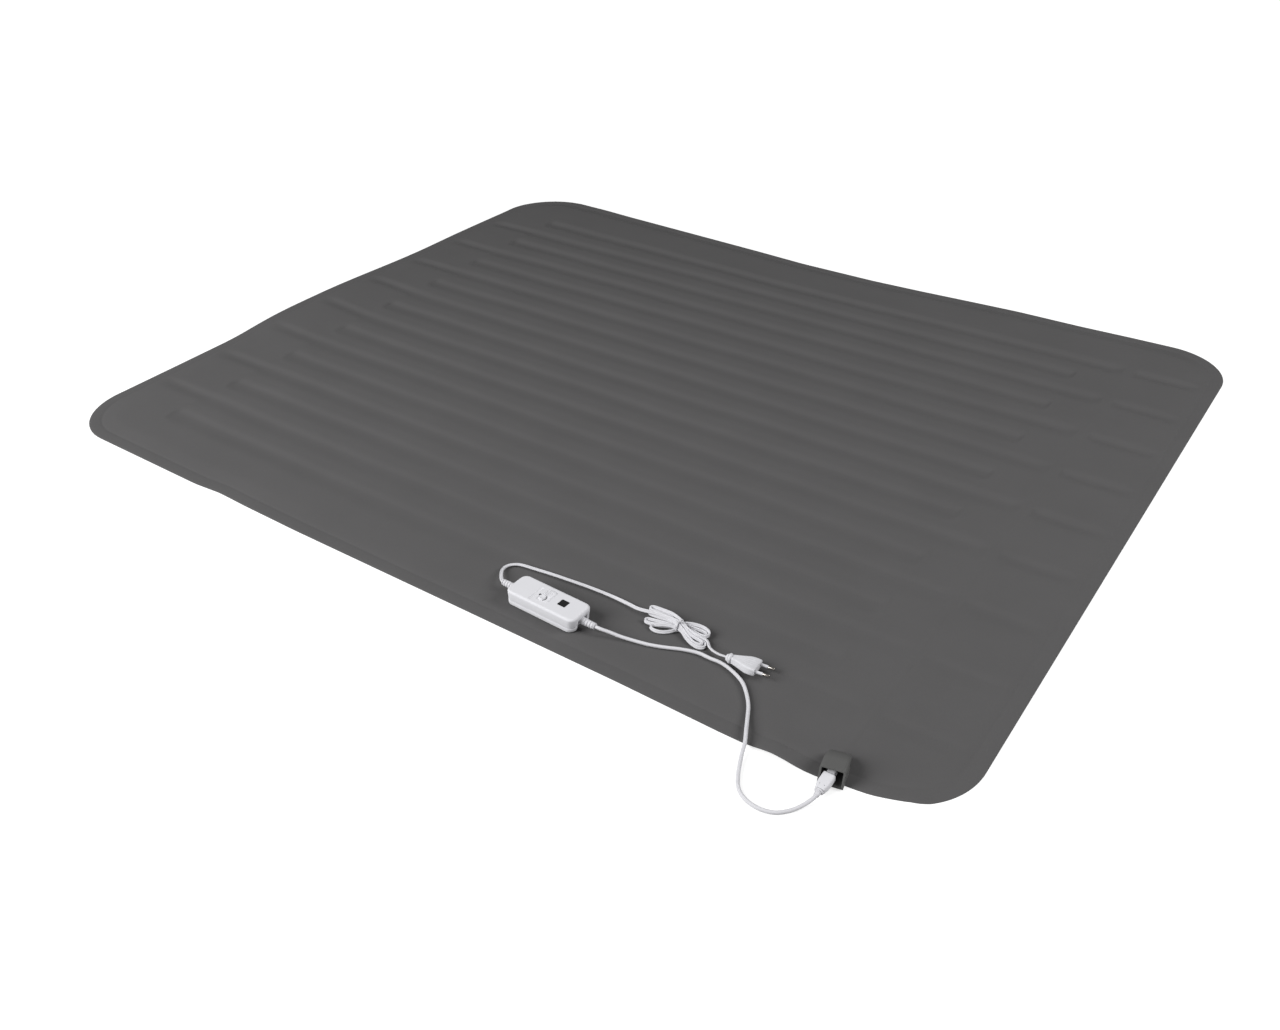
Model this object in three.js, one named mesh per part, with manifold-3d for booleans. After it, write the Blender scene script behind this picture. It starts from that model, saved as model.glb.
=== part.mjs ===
// A heated mattress pad lying flat: the welded cloth with its moulded socket, the lead that plugs
// into it, the in-line controller with its slide switch, and a mains lead folded into a tied hank.
// Millimetres, +Z up. The pad's length runs along X and its socket is at the right of the near edge.

import * as THREE from 'three';
import Module from 'manifold-3d';
import { mergeVertices } from 'three/addons/utils/BufferGeometryUtils.js';

const wasm = await Module();
wasm.setup();

// ------------------------------------------------------------------ driving dimensions

const GAP = 0.3; // between two pieces that touch

const PAD = {
  length: 1600,
  width: 1300,
  corner: 110, // radius of the rounded corners
  thick: 3, // two layers of cloth with the heating wire between them
  flange: 1.4, // the layers welded together all round
  flangeInset: 20, // flat width of that border
  fullInset: 28, // where the cloth has its whole thickness again
  weld: 1.3, // thickness left under a weld line
  weldCount: 17,
  weldPitch: 64.5,
  weldHalf: 5, // half the width of a weld groove
};

// Weld lines alternate: the odd ones stop short of the left edge, the even ones of the right.
const WELDS = {
  oddStart: -640,
  evenEnd: 560,
  endRamp: 10,
  gapFrom: 640, // where the lead wires cross the odd lines
  gapTo: 666,
  gapRamp: 6,
};

// Where the cloth stands up off its bed: centre, reach along X, reach nearer and farther, height.
const SWELLS = [
  { x: -800, y: -80, reachX: 200, near: 235, far: 340, height: 9.4 }, // left edge
  { x: -800, y: -200, reachX: 160, near: 110, far: 120, height: 2.6 }, // its nearer shoulder
  { x: 588, y: -650, reachX: 42, near: 60, far: 60, height: 4.5 }, // near edge beside the socket
];

// How far each edge is drawn in, read along the edge: [x or y, drawn in]. Below 0 it stands out.
const FAR_DRAW = [
  [-800, 20], [-737, 10.5], [-676, 2.4], [-600, 4], [-520, 9], [-380, 15], [-180, 24], [-60, 31],
  [100, 30.5], [200, 25], [320, 16], [400, 10.5], [520, 9], [620, 4.3], [700, 2], [800, 2],
];
const NEAR_DRAW = [
  [-800, -2], [-443, -3.5], [-390, 0.8], [-328, -1.2], [-215, -2.7], [120, -1.6], [370, -1.4],
  [520, -3.6], [640, -2], [683, 4.6], [727, 8.6], [747, 7.6], [767, 1.7], [800, 0],
];
const LEFT_DRAW = [[-650, 4], [-529, 4], [-420, 2.4], [-300, 0], [340, 0], [425, 2], [518, 5], [650, 5]];
const FADE = { far: 300, farPower: 1.6, near: 150, left: 150 }; // how far in from the edge that reaches

const SOCKET = {
  x: 664,
  y: -658,
  turn: 12,
  base: 1.7, // underside, on the pressed patch of cloth
  plate: 3.8, // top of the base plate
  roof: 23.5,
  backRoof: 12,
  half: 15,
  backHalf: 12,
  roofDepth: 28,
  depth: 48,
  wall: 2.4,
  pocket: 26,
  round: 2.4,
  patchMargin: 1.5,
};

const CONNECTOR = { x: 660, y: -656.5, z: 11, turn: -1, droop: 8 };

const CASE = {
  x: 212.5,
  y: -592,
  turn: -2,
  half: 59,
  halfWidth: 21.5,
  height: 23,
  corner: 12,
  edge: 5, // radius along the top edges
  parting: 7.4,
  lowerProud: 0.3,
  port: 11.5, // height of the strain reliefs' axis
};

const BED = { from: -19, to: 12, halfWidth: 14.5, corner: 3, depth: 1.5 }; // the switch lies in it
const SWITCH = { x: -2, y: 1.5, half: 8.5, halfWidth: 12.5, proud: 2, round: 3, chamfer: 0.9 };
const DIP = { radius: 14, depth: 1.6, rim: 2.5 }; // for the finger, across the knob
const STEM = { y: -1.5, halfX: 3, halfY: 1.5, drop: 3, clear: 0.7, slotDepth: 4 }; // under the knob
const SWITCH_TRAVEL = { back: 7.4, forward: 3.7 };
const WINDOW = { x: 24.75, y: 2, half: 6.25, halfWidth: 6, thick: 1.2, corner: 1.2 };

const LEAD_DIAMETER = 4.8;
const FLEX = { width: 5.2, height: 3.2 }; // flat twin flex
const PLUG = { x: 505.8, y: -543.5, z: 11.1, turn: 7, roll: -9 };
const PIN = { radius: 2, length: 19, sleeve: 10, root: 9.3, tip: 8.75 };
const TIE = { x: 376.5, half: 2, thick: 1, rise: 32 }; // its ends stand up by that many degrees

const CLOTH_TOP = PAD.thick + GAP; // what lies on the pad lies at this height

// ------------------------------------------------------------------ finishes

const FINISH = {
  cloth: { color: 0x5d5b5b, roughness: 0.95, metalness: 0 },
  socket: { color: 0x4d4c4c, roughness: 0.6, metalness: 0 },
  shell: { color: 0xe4e4e8, roughness: 0.4, metalness: 0 },
  cord: { color: 0xdedfe2, roughness: 0.5, metalness: 0 },
  lens: { color: 0x0b0b0d, roughness: 0.15, metalness: 0 },
  pin: { color: 0xc8c6c0, roughness: 0.25, metalness: 1 },
};

function piece(name, geometry, finish) {
  const mesh = new THREE.Mesh(geometry, new THREE.MeshStandardMaterial(finish));
  mesh.name = name;
  return mesh;
}

// ------------------------------------------------------------------ shapes

const radians = THREE.MathUtils.degToRad;

// A soft bump: 1 at the middle, 0 from a distance of 1 on.
function bump(distance) {
  return Math.abs(distance) < 1 ? Math.cos((distance * Math.PI) / 2) ** 2 : 0;
}

// A closed geometry from corner points and triangles, turned so that its faces point out.
function closedGeometry(points, faces) {
  let volume = 0;
  for (const [a, b, c] of faces) volume += points[a].dot(points[b].clone().cross(points[c]));
  const outward = volume > 0 ? faces : faces.map(([a, b, c]) => [a, c, b]);
  const geometry = new THREE.BufferGeometry().setFromPoints(points);
  geometry.setIndex(outward.flat());
  geometry.computeVertexNormals();
  return geometry;
}

// Triangles across a flat loop, wound the way the loop runs.
function capFaces(loop) {
  const normal = new THREE.Vector3();
  loop.forEach((point, i) => normal.add(point.clone().cross(loop[(i + 1) % loop.length])));
  const level = new THREE.Quaternion().setFromUnitVectors(normal.normalize(), new THREE.Vector3(0, 0, 1));
  const flat = loop.map((point) => {
    const turned = point.clone().applyQuaternion(level);
    return new THREE.Vector2(turned.x, turned.y);
  });
  return THREE.ShapeUtils.triangulateShape(flat, []);
}

// A solid through a row of like loops, with a flat cap on the first and the last.
function loft(loops) {
  const count = loops[0].length;
  const last = (loops.length - 1) * count;
  const faces = [];
  for (let start = 0; start < last; start += count) {
    for (let i = 0; i < count; i++) {
      const a = start + i;
      const b = start + ((i + 1) % count);
      faces.push([a, b, b + count], [a, b + count, a + count]);
    }
  }
  for (const [a, b, c] of capFaces(loops[0])) faces.push([c, b, a]);
  for (const [a, b, c] of capFaces(loops.at(-1))) faces.push([last + a, last + b, last + c]);
  return closedGeometry(loops.flat(), faces);
}

// A rounded rectangle as flat points, counter-clockwise.
function roundedRectangle(half, halfWidth, radius, steps = 4) {
  const points = [];
  for (let corner = 0; corner < 4; corner++) {
    const centreX = (corner % 3 === 0 ? 1 : -1) * (half - radius);
    const centreY = (corner < 2 ? 1 : -1) * (halfWidth - radius);
    for (let i = 0; i <= steps; i++) {
      const angle = ((corner + i / steps) * Math.PI) / 2;
      const x = centreX + radius * Math.cos(angle);
      points.push(new THREE.Vector2(x, centreY + radius * Math.sin(angle)));
    }
  }
  return points;
}

// Flat points stood in space: level at a height, or upright at a distance along Y or X.
const levelAt = (points, z) => points.map((p) => new THREE.Vector3(p.x, p.y, z));
const acrossY = (points, y) => points.map((p) => new THREE.Vector3(p.x, y, p.y));
const acrossX = (points, x) => points.map((p) => new THREE.Vector3(x, p.x, p.y));

// A turned piece along X from a profile of [distance along X, radius], closed on the axis.
function turned(profile, sides = 12) {
  const points = profile.map(([along, radius]) => new THREE.Vector2(radius, along));
  points.unshift(new THREE.Vector2(0, profile[0][0]));
  points.push(new THREE.Vector2(0, profile.at(-1)[0]));
  return new THREE.LatheGeometry(points, sides).rotateZ(-Math.PI / 2);
}

function block(x0, x1, y0, y1, z0, z1) {
  const geometry = new THREE.BoxGeometry(x1 - x0, y1 - y0, z1 - z0);
  return geometry.translate((x0 + x1) / 2, (y0 + y1) / 2, (z0 + z1) / 2);
}

function toSolid(geometry) {
  const bare = geometry.clone();
  bare.deleteAttribute('normal');
  bare.deleteAttribute('uv');
  const merged = mergeVertices(bare, 1e-4);
  return new wasm.Manifold(new wasm.Mesh({
    numProp: 3,
    vertProperties: new Float32Array(merged.attributes.position.array),
    triVerts: new Uint32Array(merged.index.array),
  }));
}

function toGeometry(solid) {
  const mesh = solid.getMesh();
  const geometry = new THREE.BufferGeometry();
  geometry.setAttribute('position', new THREE.BufferAttribute(mesh.vertProperties, 3));
  geometry.setIndex(new THREE.BufferAttribute(mesh.triVerts, 1));
  geometry.computeVertexNormals();
  return geometry;
}

function cut(geometry, ...tools) {
  return toGeometry(tools.reduce((left, tool) => left.subtract(toSolid(tool)), toSolid(geometry)));
}

function join(first, second) {
  return toGeometry(toSolid(first).add(toSolid(second)));
}

// ------------------------------------------------------------------ pad cloth

function liftAt(x, y) {
  return SWELLS.reduce((sum, swell) => {
    const along = (y - swell.y) / (y > swell.y ? swell.far : swell.near);
    return sum + swell.height * bump((x - swell.x) / swell.reachX) * bump(along);
  }, 0);
}

// Half the pad's length at a distance v from its long middle line.
function halfLengthAt(v) {
  const intoCorner = Math.max(0, Math.abs(v) - (PAD.width / 2 - PAD.corner));
  return PAD.length / 2 - PAD.corner + Math.sqrt(PAD.corner ** 2 - intoCorner ** 2);
}

// How far a point of the flat cloth lies inside its outline.
function insetAt(x, v) {
  const overX = Math.abs(x) - (PAD.length / 2 - PAD.corner);
  const overY = Math.abs(v) - (PAD.width / 2 - PAD.corner);
  if (overX > 0 && overY > 0) return PAD.corner - Math.hypot(overX, overY);
  return PAD.corner - Math.max(overX, overY);
}

// A value read from a table of [place, value], straight between its rows.
function readAlong(table, place) {
  const next = table.findIndex(([at]) => at >= place);
  if (next < 1) return next < 0 ? table.at(-1)[1] : table[0][1];
  const [[from, low], [to, high]] = [table[next - 1], table[next]];
  return THREE.MathUtils.mapLinear(place, from, to, low, high);
}

// 1 along a weld line, 0 beside it and in the gap that the lead wires pass through.
function weldAt(u, v) {
  const line = v / PAD.weldPitch + (PAD.weldCount - 1) / 2;
  if (line < -0.5 || line > PAD.weldCount - 0.5) return 0;
  const beside = Math.abs(line - Math.round(line)) * PAD.weldPitch;
  if (beside > PAD.weldHalf / 2) return 0;
  if (Math.round(line) % 2 === 1) return u <= WELDS.evenEnd ? 1 : 0;
  const inGap = u > WELDS.gapFrom && u < WELDS.gapTo;
  return u >= WELDS.oddStart && !inGap ? 1 : 0;
}

function thicknessAt(u, x, v) {
  const rise = (insetAt(x, v) - PAD.flangeInset) / (PAD.fullInset - PAD.flangeInset);
  const plain = PAD.flange + (PAD.thick - PAD.flange) * THREE.MathUtils.clamp(rise, 0, 1);
  return THREE.MathUtils.lerp(plain, Math.min(plain, PAD.weld), weldAt(u, v));
}

// A point of the flat cloth, moved by the drawing in of the edges near it.
function drawn(x, v) {
  const half = PAD.width / 2;
  const farShare = Math.max(0, 1 - (half - v) / FADE.far) ** FADE.farPower;
  const nearShare = Math.max(0, 1 - (v + half) / FADE.near);
  const leftShare = Math.max(0, 1 - (x + PAD.length / 2) / FADE.left);
  return {
    x: x + readAlong(LEFT_DRAW, v) * leftShare,
    y: v - readAlong(FAR_DRAW, x) * farShare + readAlong(NEAR_DRAW, x) * nearShare,
  };
}

// Columns of the grid: both borders, the ends of the weld lines, and stations along the waves.
function padColumns() {
  const end = PAD.length / 2;
  const flange = [end, end - PAD.flangeInset, end - PAD.fullInset];
  const gap = [WELDS.gapFrom, WELDS.gapFrom + WELDS.gapRamp, WELDS.gapTo - WELDS.gapRamp, WELDS.gapTo];
  const lineEnds = [WELDS.oddStart - WELDS.endRamp, WELDS.oddStart];
  lineEnds.push(WELDS.evenEnd, WELDS.evenEnd + WELDS.endRamp);
  const stations = [-520, -450, -390, -320, -215, -140, -60, 20, 100, 200, 320, 400, 480, 590];
  const columns = [...flange, ...flange.map((x) => -x), ...gap, ...lineEnds, ...stations];
  return columns.sort((a, b) => a - b);
}

// Rows of the grid: the corners' arcs, both borders, and three stations for each weld line.
function padRows() {
  const half = PAD.width / 2;
  const outer = [half - PAD.flangeInset, half - PAD.fullInset];
  for (let degrees = 0; degrees <= 90; degrees += 15) {
    outer.push(half - PAD.corner + PAD.corner * Math.sin(radians(degrees)));
  }
  const rows = outer.flatMap((y) => [y, -y]);
  for (let line = 0; line < PAD.weldCount; line++) {
    const y = (line - (PAD.weldCount - 1) / 2) * PAD.weldPitch;
    rows.push(y - PAD.weldHalf, y, y + PAD.weldHalf);
  }
  return rows.sort((a, b) => a - b);
}

const SQUEEZE = 150; // width of the strip at each end whose columns close up round the corners

// The cloth as one closed sheet: a bottom and a top layer of grid points, joined round the edge.
function padCloth() {
  const columns = padColumns();
  const rows = padRows();
  const wide = columns.length;
  const squeezeFrom = PAD.length / 2 - SQUEEZE;
  const bottom = [];
  const top = [];
  for (const v of rows) {
    const squeeze = (halfLengthAt(v) - squeezeFrom) / (PAD.length / 2 - squeezeFrom);
    for (const u of columns) {
      const within = Math.min(Math.abs(u), squeezeFrom);
      const x = Math.sign(u) * (within + (Math.abs(u) - within) * squeeze);
      const place = drawn(x, v);
      const lift = liftAt(x, v);
      bottom.push(new THREE.Vector3(place.x, place.y, lift));
      top.push(new THREE.Vector3(place.x, place.y, lift + thicknessAt(u, x, v)));
    }
  }
  const above = bottom.length;
  const faces = [];
  for (let row = 0; row + 1 < rows.length; row++) {
    for (let column = 0; column + 1 < wide; column++) {
      const a = row * wide + column;
      const [b, c, d] = [a + 1, a + wide + 1, a + wide];
      faces.push([a, c, b], [a, d, c]);
      faces.push([above + a, above + b, above + c], [above + a, above + c, above + d]);
    }
  }
  const rim = [];
  for (let column = 0; column + 1 < wide; column++) rim.push(column);
  for (let row = 0; row + 1 < rows.length; row++) rim.push(row * wide + wide - 1);
  for (let column = wide - 1; column > 0; column--) rim.push((rows.length - 1) * wide + column);
  for (let row = rows.length - 1; row > 0; row--) rim.push(row * wide);
  rim.forEach((a, i) => {
    const b = rim[(i + 1) % rim.length];
    faces.push([a, b, above + b], [a, above + b, above + a]);
  });
  return closedGeometry([...bottom, ...top], faces);
}

// ------------------------------------------------------------------ socket on the pad's edge

function socketFootprint(margin) {
  const front = SOCKET.half + margin;
  const back = SOCKET.backHalf + margin;
  const end = SOCKET.depth + margin;
  const corners = [[-front, -margin], [front, -margin], [front, SOCKET.roofDepth], [back, end]];
  corners.push([-back, end], [-front, SOCKET.roofDepth]);
  return corners.map(([x, y]) => new THREE.Vector2(x, y));
}

// An upright section with two rounded top corners.
function arch(half, floor, roof, round, steps = 3) {
  const points = [new THREE.Vector2(-half, floor), new THREE.Vector2(half, floor)];
  for (let i = 0; i <= 2 * steps + 1; i++) {
    const side = i <= steps ? 1 : -1;
    const angle = ((i <= steps ? i : i - 1) / steps) * (Math.PI / 2);
    const x = side * (half - round) + round * Math.cos(angle);
    points.push(new THREE.Vector2(x, roof - round + round * Math.sin(angle)));
  }
  return points;
}

function socketPlace() {
  const turn = new THREE.Matrix4().makeRotationZ(radians(SOCKET.turn));
  return turn.setPosition(SOCKET.x, SOCKET.y, 0);
}

// The cloth, pressed flat under the socket.
function buildPad() {
  const patch = socketFootprint(SOCKET.patchMargin);
  const pressed = loft([levelAt(patch, PAD.flange), levelAt(patch, SOCKET.roof)]);
  return piece('pad_cloth', cut(padCloth(), pressed.applyMatrix4(socketPlace())), FINISH.cloth);
}

function buildSocket() {
  const group = new THREE.Group();
  group.applyMatrix4(socketPlace());
  const plate = loft([levelAt(socketFootprint(0), SOCKET.base), levelAt(socketFootprint(0), SOCKET.plate)]);
  const floor = SOCKET.plate + GAP;
  const outside = loft([
    acrossY(arch(SOCKET.half, floor, SOCKET.roof, SOCKET.round), 0),
    acrossY(arch(SOCKET.half, floor, SOCKET.roof, SOCKET.round), SOCKET.roofDepth),
    acrossY(arch(SOCKET.backHalf, floor, SOCKET.backRoof, SOCKET.round), SOCKET.depth),
  ]);
  const inner = arch(SOCKET.half - SOCKET.wall, floor - 1, SOCKET.roof - SOCKET.wall, SOCKET.round / 2);
  const pocket = loft([acrossY(inner, -1), acrossY(inner, SOCKET.pocket)]);
  group.add(piece('socket_base', plate, FINISH.socket));
  group.add(piece('socket_cover', cut(outside, pocket), FINISH.socket));
  return group;
}

// ------------------------------------------------------------------ connector in the socket

// Sections along the connector: distance in (+) or out (-) of the socket, half width, half height.
const CONNECTOR_BODY = [
  { y: 12, half: 8, halfHeight: 4.8, round: 2.2 },
  { y: -3, half: 8, halfHeight: 4.8, round: 2.2 },
  { y: -10, half: 6.6, halfHeight: 4.4, round: 2.2 },
  { y: -14, half: 4.6, halfHeight: 4, round: 2.2 },
];
const CONNECTOR_RELIEF = [
  { y: -14.3, half: 4.6, halfHeight: 4, round: 2.6 },
  { y: -16.8, half: 4.6, halfHeight: 4, round: 2.6 },
  { y: -17.2, half: 3.4, halfHeight: 3.4, round: 2.8 },
  { y: -24, half: 2.95, halfHeight: 2.95, round: 2.8 },
];

function buildConnector() {
  const group = new THREE.Group();
  group.position.set(CONNECTOR.x, CONNECTOR.y, CONNECTOR.z);
  group.rotation.set(radians(CONNECTOR.droop), 0, radians(CONNECTOR.turn), 'ZYX');
  const through = (sections) => loft(sections.map(({ y, half, halfHeight, round }) => (
    acrossY(roundedRectangle(half, halfHeight, round, 3), y))));
  group.add(piece('connector_body', through(CONNECTOR_BODY), FINISH.shell));
  group.add(piece('connector_relief', through(CONNECTOR_RELIEF), FINISH.cord));
  return group;
}

// ------------------------------------------------------------------ controller

function caseShell(layers) {
  return loft(layers.map(({ z, inset }) => {
    const outline = roundedRectangle(CASE.half - inset, CASE.halfWidth - inset, CASE.corner - inset);
    return levelAt(outline, z);
  }));
}

// An outline as an upright block from one height to another.
function prism(outline, from, to) {
  return loft([levelAt(outline, from), levelAt(outline, to)]);
}

function windowOutline(margin) {
  return roundedRectangle(WINDOW.half + margin, WINDOW.halfWidth + margin, WINDOW.corner + margin, 2);
}

// The upper shell: a rounded top edge, the switch's bed and its slot, and the window's recess.
function upperShell() {
  const layers = [{ z: CASE.parting + GAP, inset: 0 }];
  for (let degrees = 0; degrees <= 90; degrees += 22.5) {
    const z = CASE.height - CASE.edge + CASE.edge * Math.sin(radians(degrees));
    layers.push({ z, inset: CASE.edge * (1 - Math.cos(radians(degrees))) });
  }
  const above = CASE.height + 1;
  const bedFloor = CASE.height - BED.depth;
  const bedOutline = roundedRectangle((BED.to - BED.from) / 2, BED.halfWidth, BED.corner);
  const bed = prism(bedOutline, bedFloor, above).translate((BED.from + BED.to) / 2, 0, 0);
  const slotFrom = SWITCH.x - STEM.halfX - SWITCH_TRAVEL.back - STEM.clear;
  const slotTo = SWITCH.x + STEM.halfX + SWITCH_TRAVEL.forward + STEM.clear;
  const slotHalf = STEM.halfY + STEM.clear;
  const slotFloor = bedFloor - STEM.slotDepth;
  const slot = block(slotFrom, slotTo, STEM.y - slotHalf, STEM.y + slotHalf, slotFloor, above);
  const lensFloor = CASE.height - WINDOW.thick - GAP;
  const lensHole = prism(windowOutline(GAP), lensFloor, above).translate(WINDOW.x, WINDOW.y, 0);
  return cut(caseShell(layers), bed, slot, lensHole);
}

// The knob: a rounded block with a round finger dip, and a short stem under it.
function switchKnob() {
  const foot = CASE.height - BED.depth + GAP;
  const top = CASE.height + SWITCH.proud;
  const { half, halfWidth, round, chamfer } = SWITCH;
  const outline = roundedRectangle(half, halfWidth, round, 3);
  const crown = roundedRectangle(half - chamfer, halfWidth - chamfer, round - chamfer, 3);
  const body = loft([levelAt(outline, foot), levelAt(outline, top - chamfer), levelAt(crown, top)]);
  const dip = new THREE.CylinderGeometry(DIP.radius, DIP.radius, 2 * (halfWidth - DIP.rim), 32);
  dip.translate(0, 0, top - DIP.depth + DIP.radius);
  const [near, far] = [STEM.y - STEM.halfY - SWITCH.y, STEM.y + STEM.halfY - SWITCH.y];
  const stem = block(-STEM.halfX, STEM.halfX, near, far, foot - STEM.drop, foot + STEM.drop / 4);
  return join(cut(body, dip), stem).translate(SWITCH.x, SWITCH.y, 0);
}

const LOWER_LAYERS = [
  { z: 0, inset: 2.5 }, { z: 1, inset: 0.8 }, { z: 2.4, inset: 0 }, { z: CASE.parting, inset: 0 },
];
const RELIEF = { collar: 4.4, collarLength: 3, root: 4.1, tip: 3.2, leadEnd: 79.6, mainsEnd: 84 };

// A strain relief on the end of the case: a short collar and a cone, out to its tip.
function reliefProfile(end) {
  const root = CASE.half + CASE.lowerProud + GAP;
  const neck = root + RELIEF.collarLength;
  const collar = [[root, RELIEF.collar], [neck, RELIEF.collar]];
  return [...collar, [neck + 0.4, RELIEF.root], [end, RELIEF.tip]];
}

function buildController() {
  const group = new THREE.Group();
  group.position.set(CASE.x, CASE.y, CLOTH_TOP);
  group.rotation.z = radians(CASE.turn);
  const lower = LOWER_LAYERS.map(({ z, inset }) => ({ z, inset: inset - CASE.lowerProud }));
  const lens = prism(windowOutline(0), CASE.height - WINDOW.thick, CASE.height);
  const leadRelief = turned(reliefProfile(RELIEF.leadEnd));
  const mainsRelief = turned(reliefProfile(RELIEF.mainsEnd)).rotateZ(Math.PI);
  group.add(piece('controller_lower', caseShell(lower), FINISH.shell));
  group.add(piece('controller_upper', upperShell(), FINISH.shell));
  group.add(piece('controller_window', lens.translate(WINDOW.x, WINDOW.y, 0), FINISH.lens));
  group.add(piece('switch_knob', switchKnob(), FINISH.shell));
  group.add(piece('controller_relief_lead', leadRelief.translate(0, 0, CASE.port), FINISH.cord));
  group.add(piece('controller_relief_mains', mainsRelief.translate(0, 0, CASE.port), FINISH.cord));
  return group;
}

// ------------------------------------------------------------------ cords

// Each route is laid by hand: x, y and height of the cord's middle line.
const LEAD_ROUTE = [
  [659.6, -680.8, 7.6], [659.4, -684.5, 7.1], [657.5, -691, 5.8], [653.5, -699.5, 4.1],
  [648, -709, 2.8], [641, -718, 2.6], [633, -725, 2.6], [621, -729.5, 2.6], [607, -730, 2.6],
  [593, -726, 2.6], [581, -717, 2.6], [572, -703, 2.6], [565, -688, 3.3], [559, -673, 5.3],
  [554, -658, 7.8], [545, -640, 7.8], [535, -620, 6.4], [525, -601, 5.9], [513, -585, 5.9],
  [499, -571, 5.9], [485, -563, 5.9], [469, -557, 5.9], [457, -554.6, 5.9], [442, -555.2, 5.9],
  [424, -555, 5.9], [403, -561, 5.9], [383, -569.7, 5.9], [363, -576.8, 5.9], [342, -581.8, 6.4],
  [325, -586.5, 8.4], [311, -590.4, 11.6], [300, -594, 14.1], [296, -594.7, 14.7],
  [292.4, -594.8, 14.8],
];
const MAINS_ROUTE_A = [
  [127.9, -589.1, 14.8], [125.4, -588.8, 14.7], [122.4, -586, 14], [118.8, -580.5, 12.8],
  [113.5, -572.5, 10.6], [107.5, -564.5, 8.2], [104.3, -557, 6.4], [104, -550, 5.6],
  [107.5, -543.5, 5.2], [114, -538.2, 5.1], [122, -535.6, 5], [132, -534, 5], [145, -532.2, 5],
  [161, -530, 5], [177, -528, 5], [193, -526.6, 5], [209, -525, 5], [226, -523.6, 5],
  [244, -522.6, 5], [260, -522.2, 5], [277, -522.4, 5], [295, -523.6, 5.3], [310, -525.8, 6.4],
  [325.8, -528.2, 8],
];
const MAINS_ROUTE_B = [
  [428.8, -537, 6.6], [435, -540.6, 6.4], [443, -544, 7], [451, -546.8, 8.8], [458.5, -548.8, 10.6],
  [465.4, -548.5, 11.1],
];

function cord(route, width, height, steps, sides = 10) {
  const section = new THREE.Shape();
  for (let i = 0; i < sides; i++) {
    const angle = ((i + 0.5) / sides) * 2 * Math.PI;
    const [x, y] = [(height / 2) * Math.cos(angle), (width / 2) * Math.sin(angle)];
    if (i === 0) section.moveTo(x, y);
    else section.lineTo(x, y);
  }
  section.closePath();
  const path = new THREE.CatmullRomCurve3(route.map((point) => new THREE.Vector3(...point)));
  return new THREE.ExtrudeGeometry(section, { steps, extrudePath: path, bevelEnabled: false });
}

function buildCords() {
  const lead = cord(LEAD_ROUTE, LEAD_DIAMETER, LEAD_DIAMETER, 42);
  const mainsA = cord(MAINS_ROUTE_A, FLEX.width, FLEX.height, 28);
  const mainsB = cord(MAINS_ROUTE_B, FLEX.width, FLEX.height, 5);
  return [
    piece('lead_cord', lead, FINISH.cord),
    piece('mains_cord_a', mainsA, FINISH.cord),
    piece('mains_cord_b', mainsB, FINISH.cord),
  ];
}

// ------------------------------------------------------------------ hank and its tie

// The folded flex from above: two lobes at each end, drawn together where it is tied.
const HANK_OUTLINE = [
  [427, -532], [424, -524], [417, -515.5], [407, -513], [394, -514], [383, -519.6], [374, -521.2],
  [360, -519], [345, -516.8], [331, -516.2], [326.8, -521], [326.8, -532], [330, -540],
  [341, -544.2], [352, -546], [364, -542.2], [374, -535.2], [382, -534.8], [393, -539.2],
  [406, -544.4], [419.5, -543.6], [426, -538.6],
];
const HANK_POINTS = 44;
const HANK_LAYERS = [
  { z: 0, inset: 2.2 }, { z: 1.6, inset: 0.5 }, { z: 4.5, inset: 0 }, { z: 9.5, inset: 0.4 },
  { z: 11.4, inset: 1.5 }, { z: 12.6, inset: 3.4 },
];
const WAIST = { near: -533.2, far: -523.2, floor: CLOTH_TOP + TIE.thick + GAP, roof: 15 };

function hankLoop(inset) {
  const path = new THREE.CatmullRomCurve3(HANK_OUTLINE.map(([x, y]) => new THREE.Vector3(x, y, 0)), true);
  const points = [];
  for (let i = 0; i < HANK_POINTS; i++) {
    const along = path.getTangentAt(i / HANK_POINTS);
    const point = path.getPointAt(i / HANK_POINTS);
    points.push(new THREE.Vector2(point.x - along.y * inset, point.y + along.x * inset));
  }
  return points;
}

// The bundle's section where it is tied, a little wider each way by the margin.
function waistLoop(margin) {
  const half = (WAIST.far - WAIST.near) / 2 + margin;
  const halfHeight = (WAIST.roof - WAIST.floor) / 2 + margin;
  return roundedRectangle(half, halfHeight, 1 + margin, 2);
}

function waistBar(margin, half) {
  const bar = loft([acrossX(waistLoop(margin), -half), acrossX(waistLoop(margin), half)]);
  return bar.translate(TIE.x, (WAIST.near + WAIST.far) / 2, (WAIST.floor + WAIST.roof) / 2);
}

function buildHank() {
  const bundle = loft(HANK_LAYERS.map(({ z, inset }) => levelAt(hankLoop(inset), CLOTH_TOP + z)));
  const reach = TIE.half + GAP;
  const [near, far] = [WAIST.near - 4 * reach, WAIST.far + 4 * reach];
  const around = block(TIE.x - reach, TIE.x + reach, near, far, 0, 2 * WAIST.roof);
  const groove = cut(around, waistBar(0, 2 * reach));
  return piece('mains_hank', cut(bundle, groove), FINISH.cord);
}

const TIE_ENDS = [[0, 0.7], [6, 1.1], [11, 0.7]]; // along the twist: distance, radius

// A flat wire tie: a band round the waist, its two ends twisted together and left standing out.
function buildTie() {
  const band = cut(waistBar(GAP + TIE.thick, TIE.half), waistBar(GAP, 2 * TIE.half));
  const ends = turned(TIE_ENDS, 8).rotateY(radians(-TIE.rise));
  ends.translate(TIE.x, (WAIST.near + WAIST.far) / 2, WAIST.roof + GAP + TIE.thick);
  return piece('hank_tie', join(band, ends), FINISH.cord);
}

// ------------------------------------------------------------------ mains plug

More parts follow.
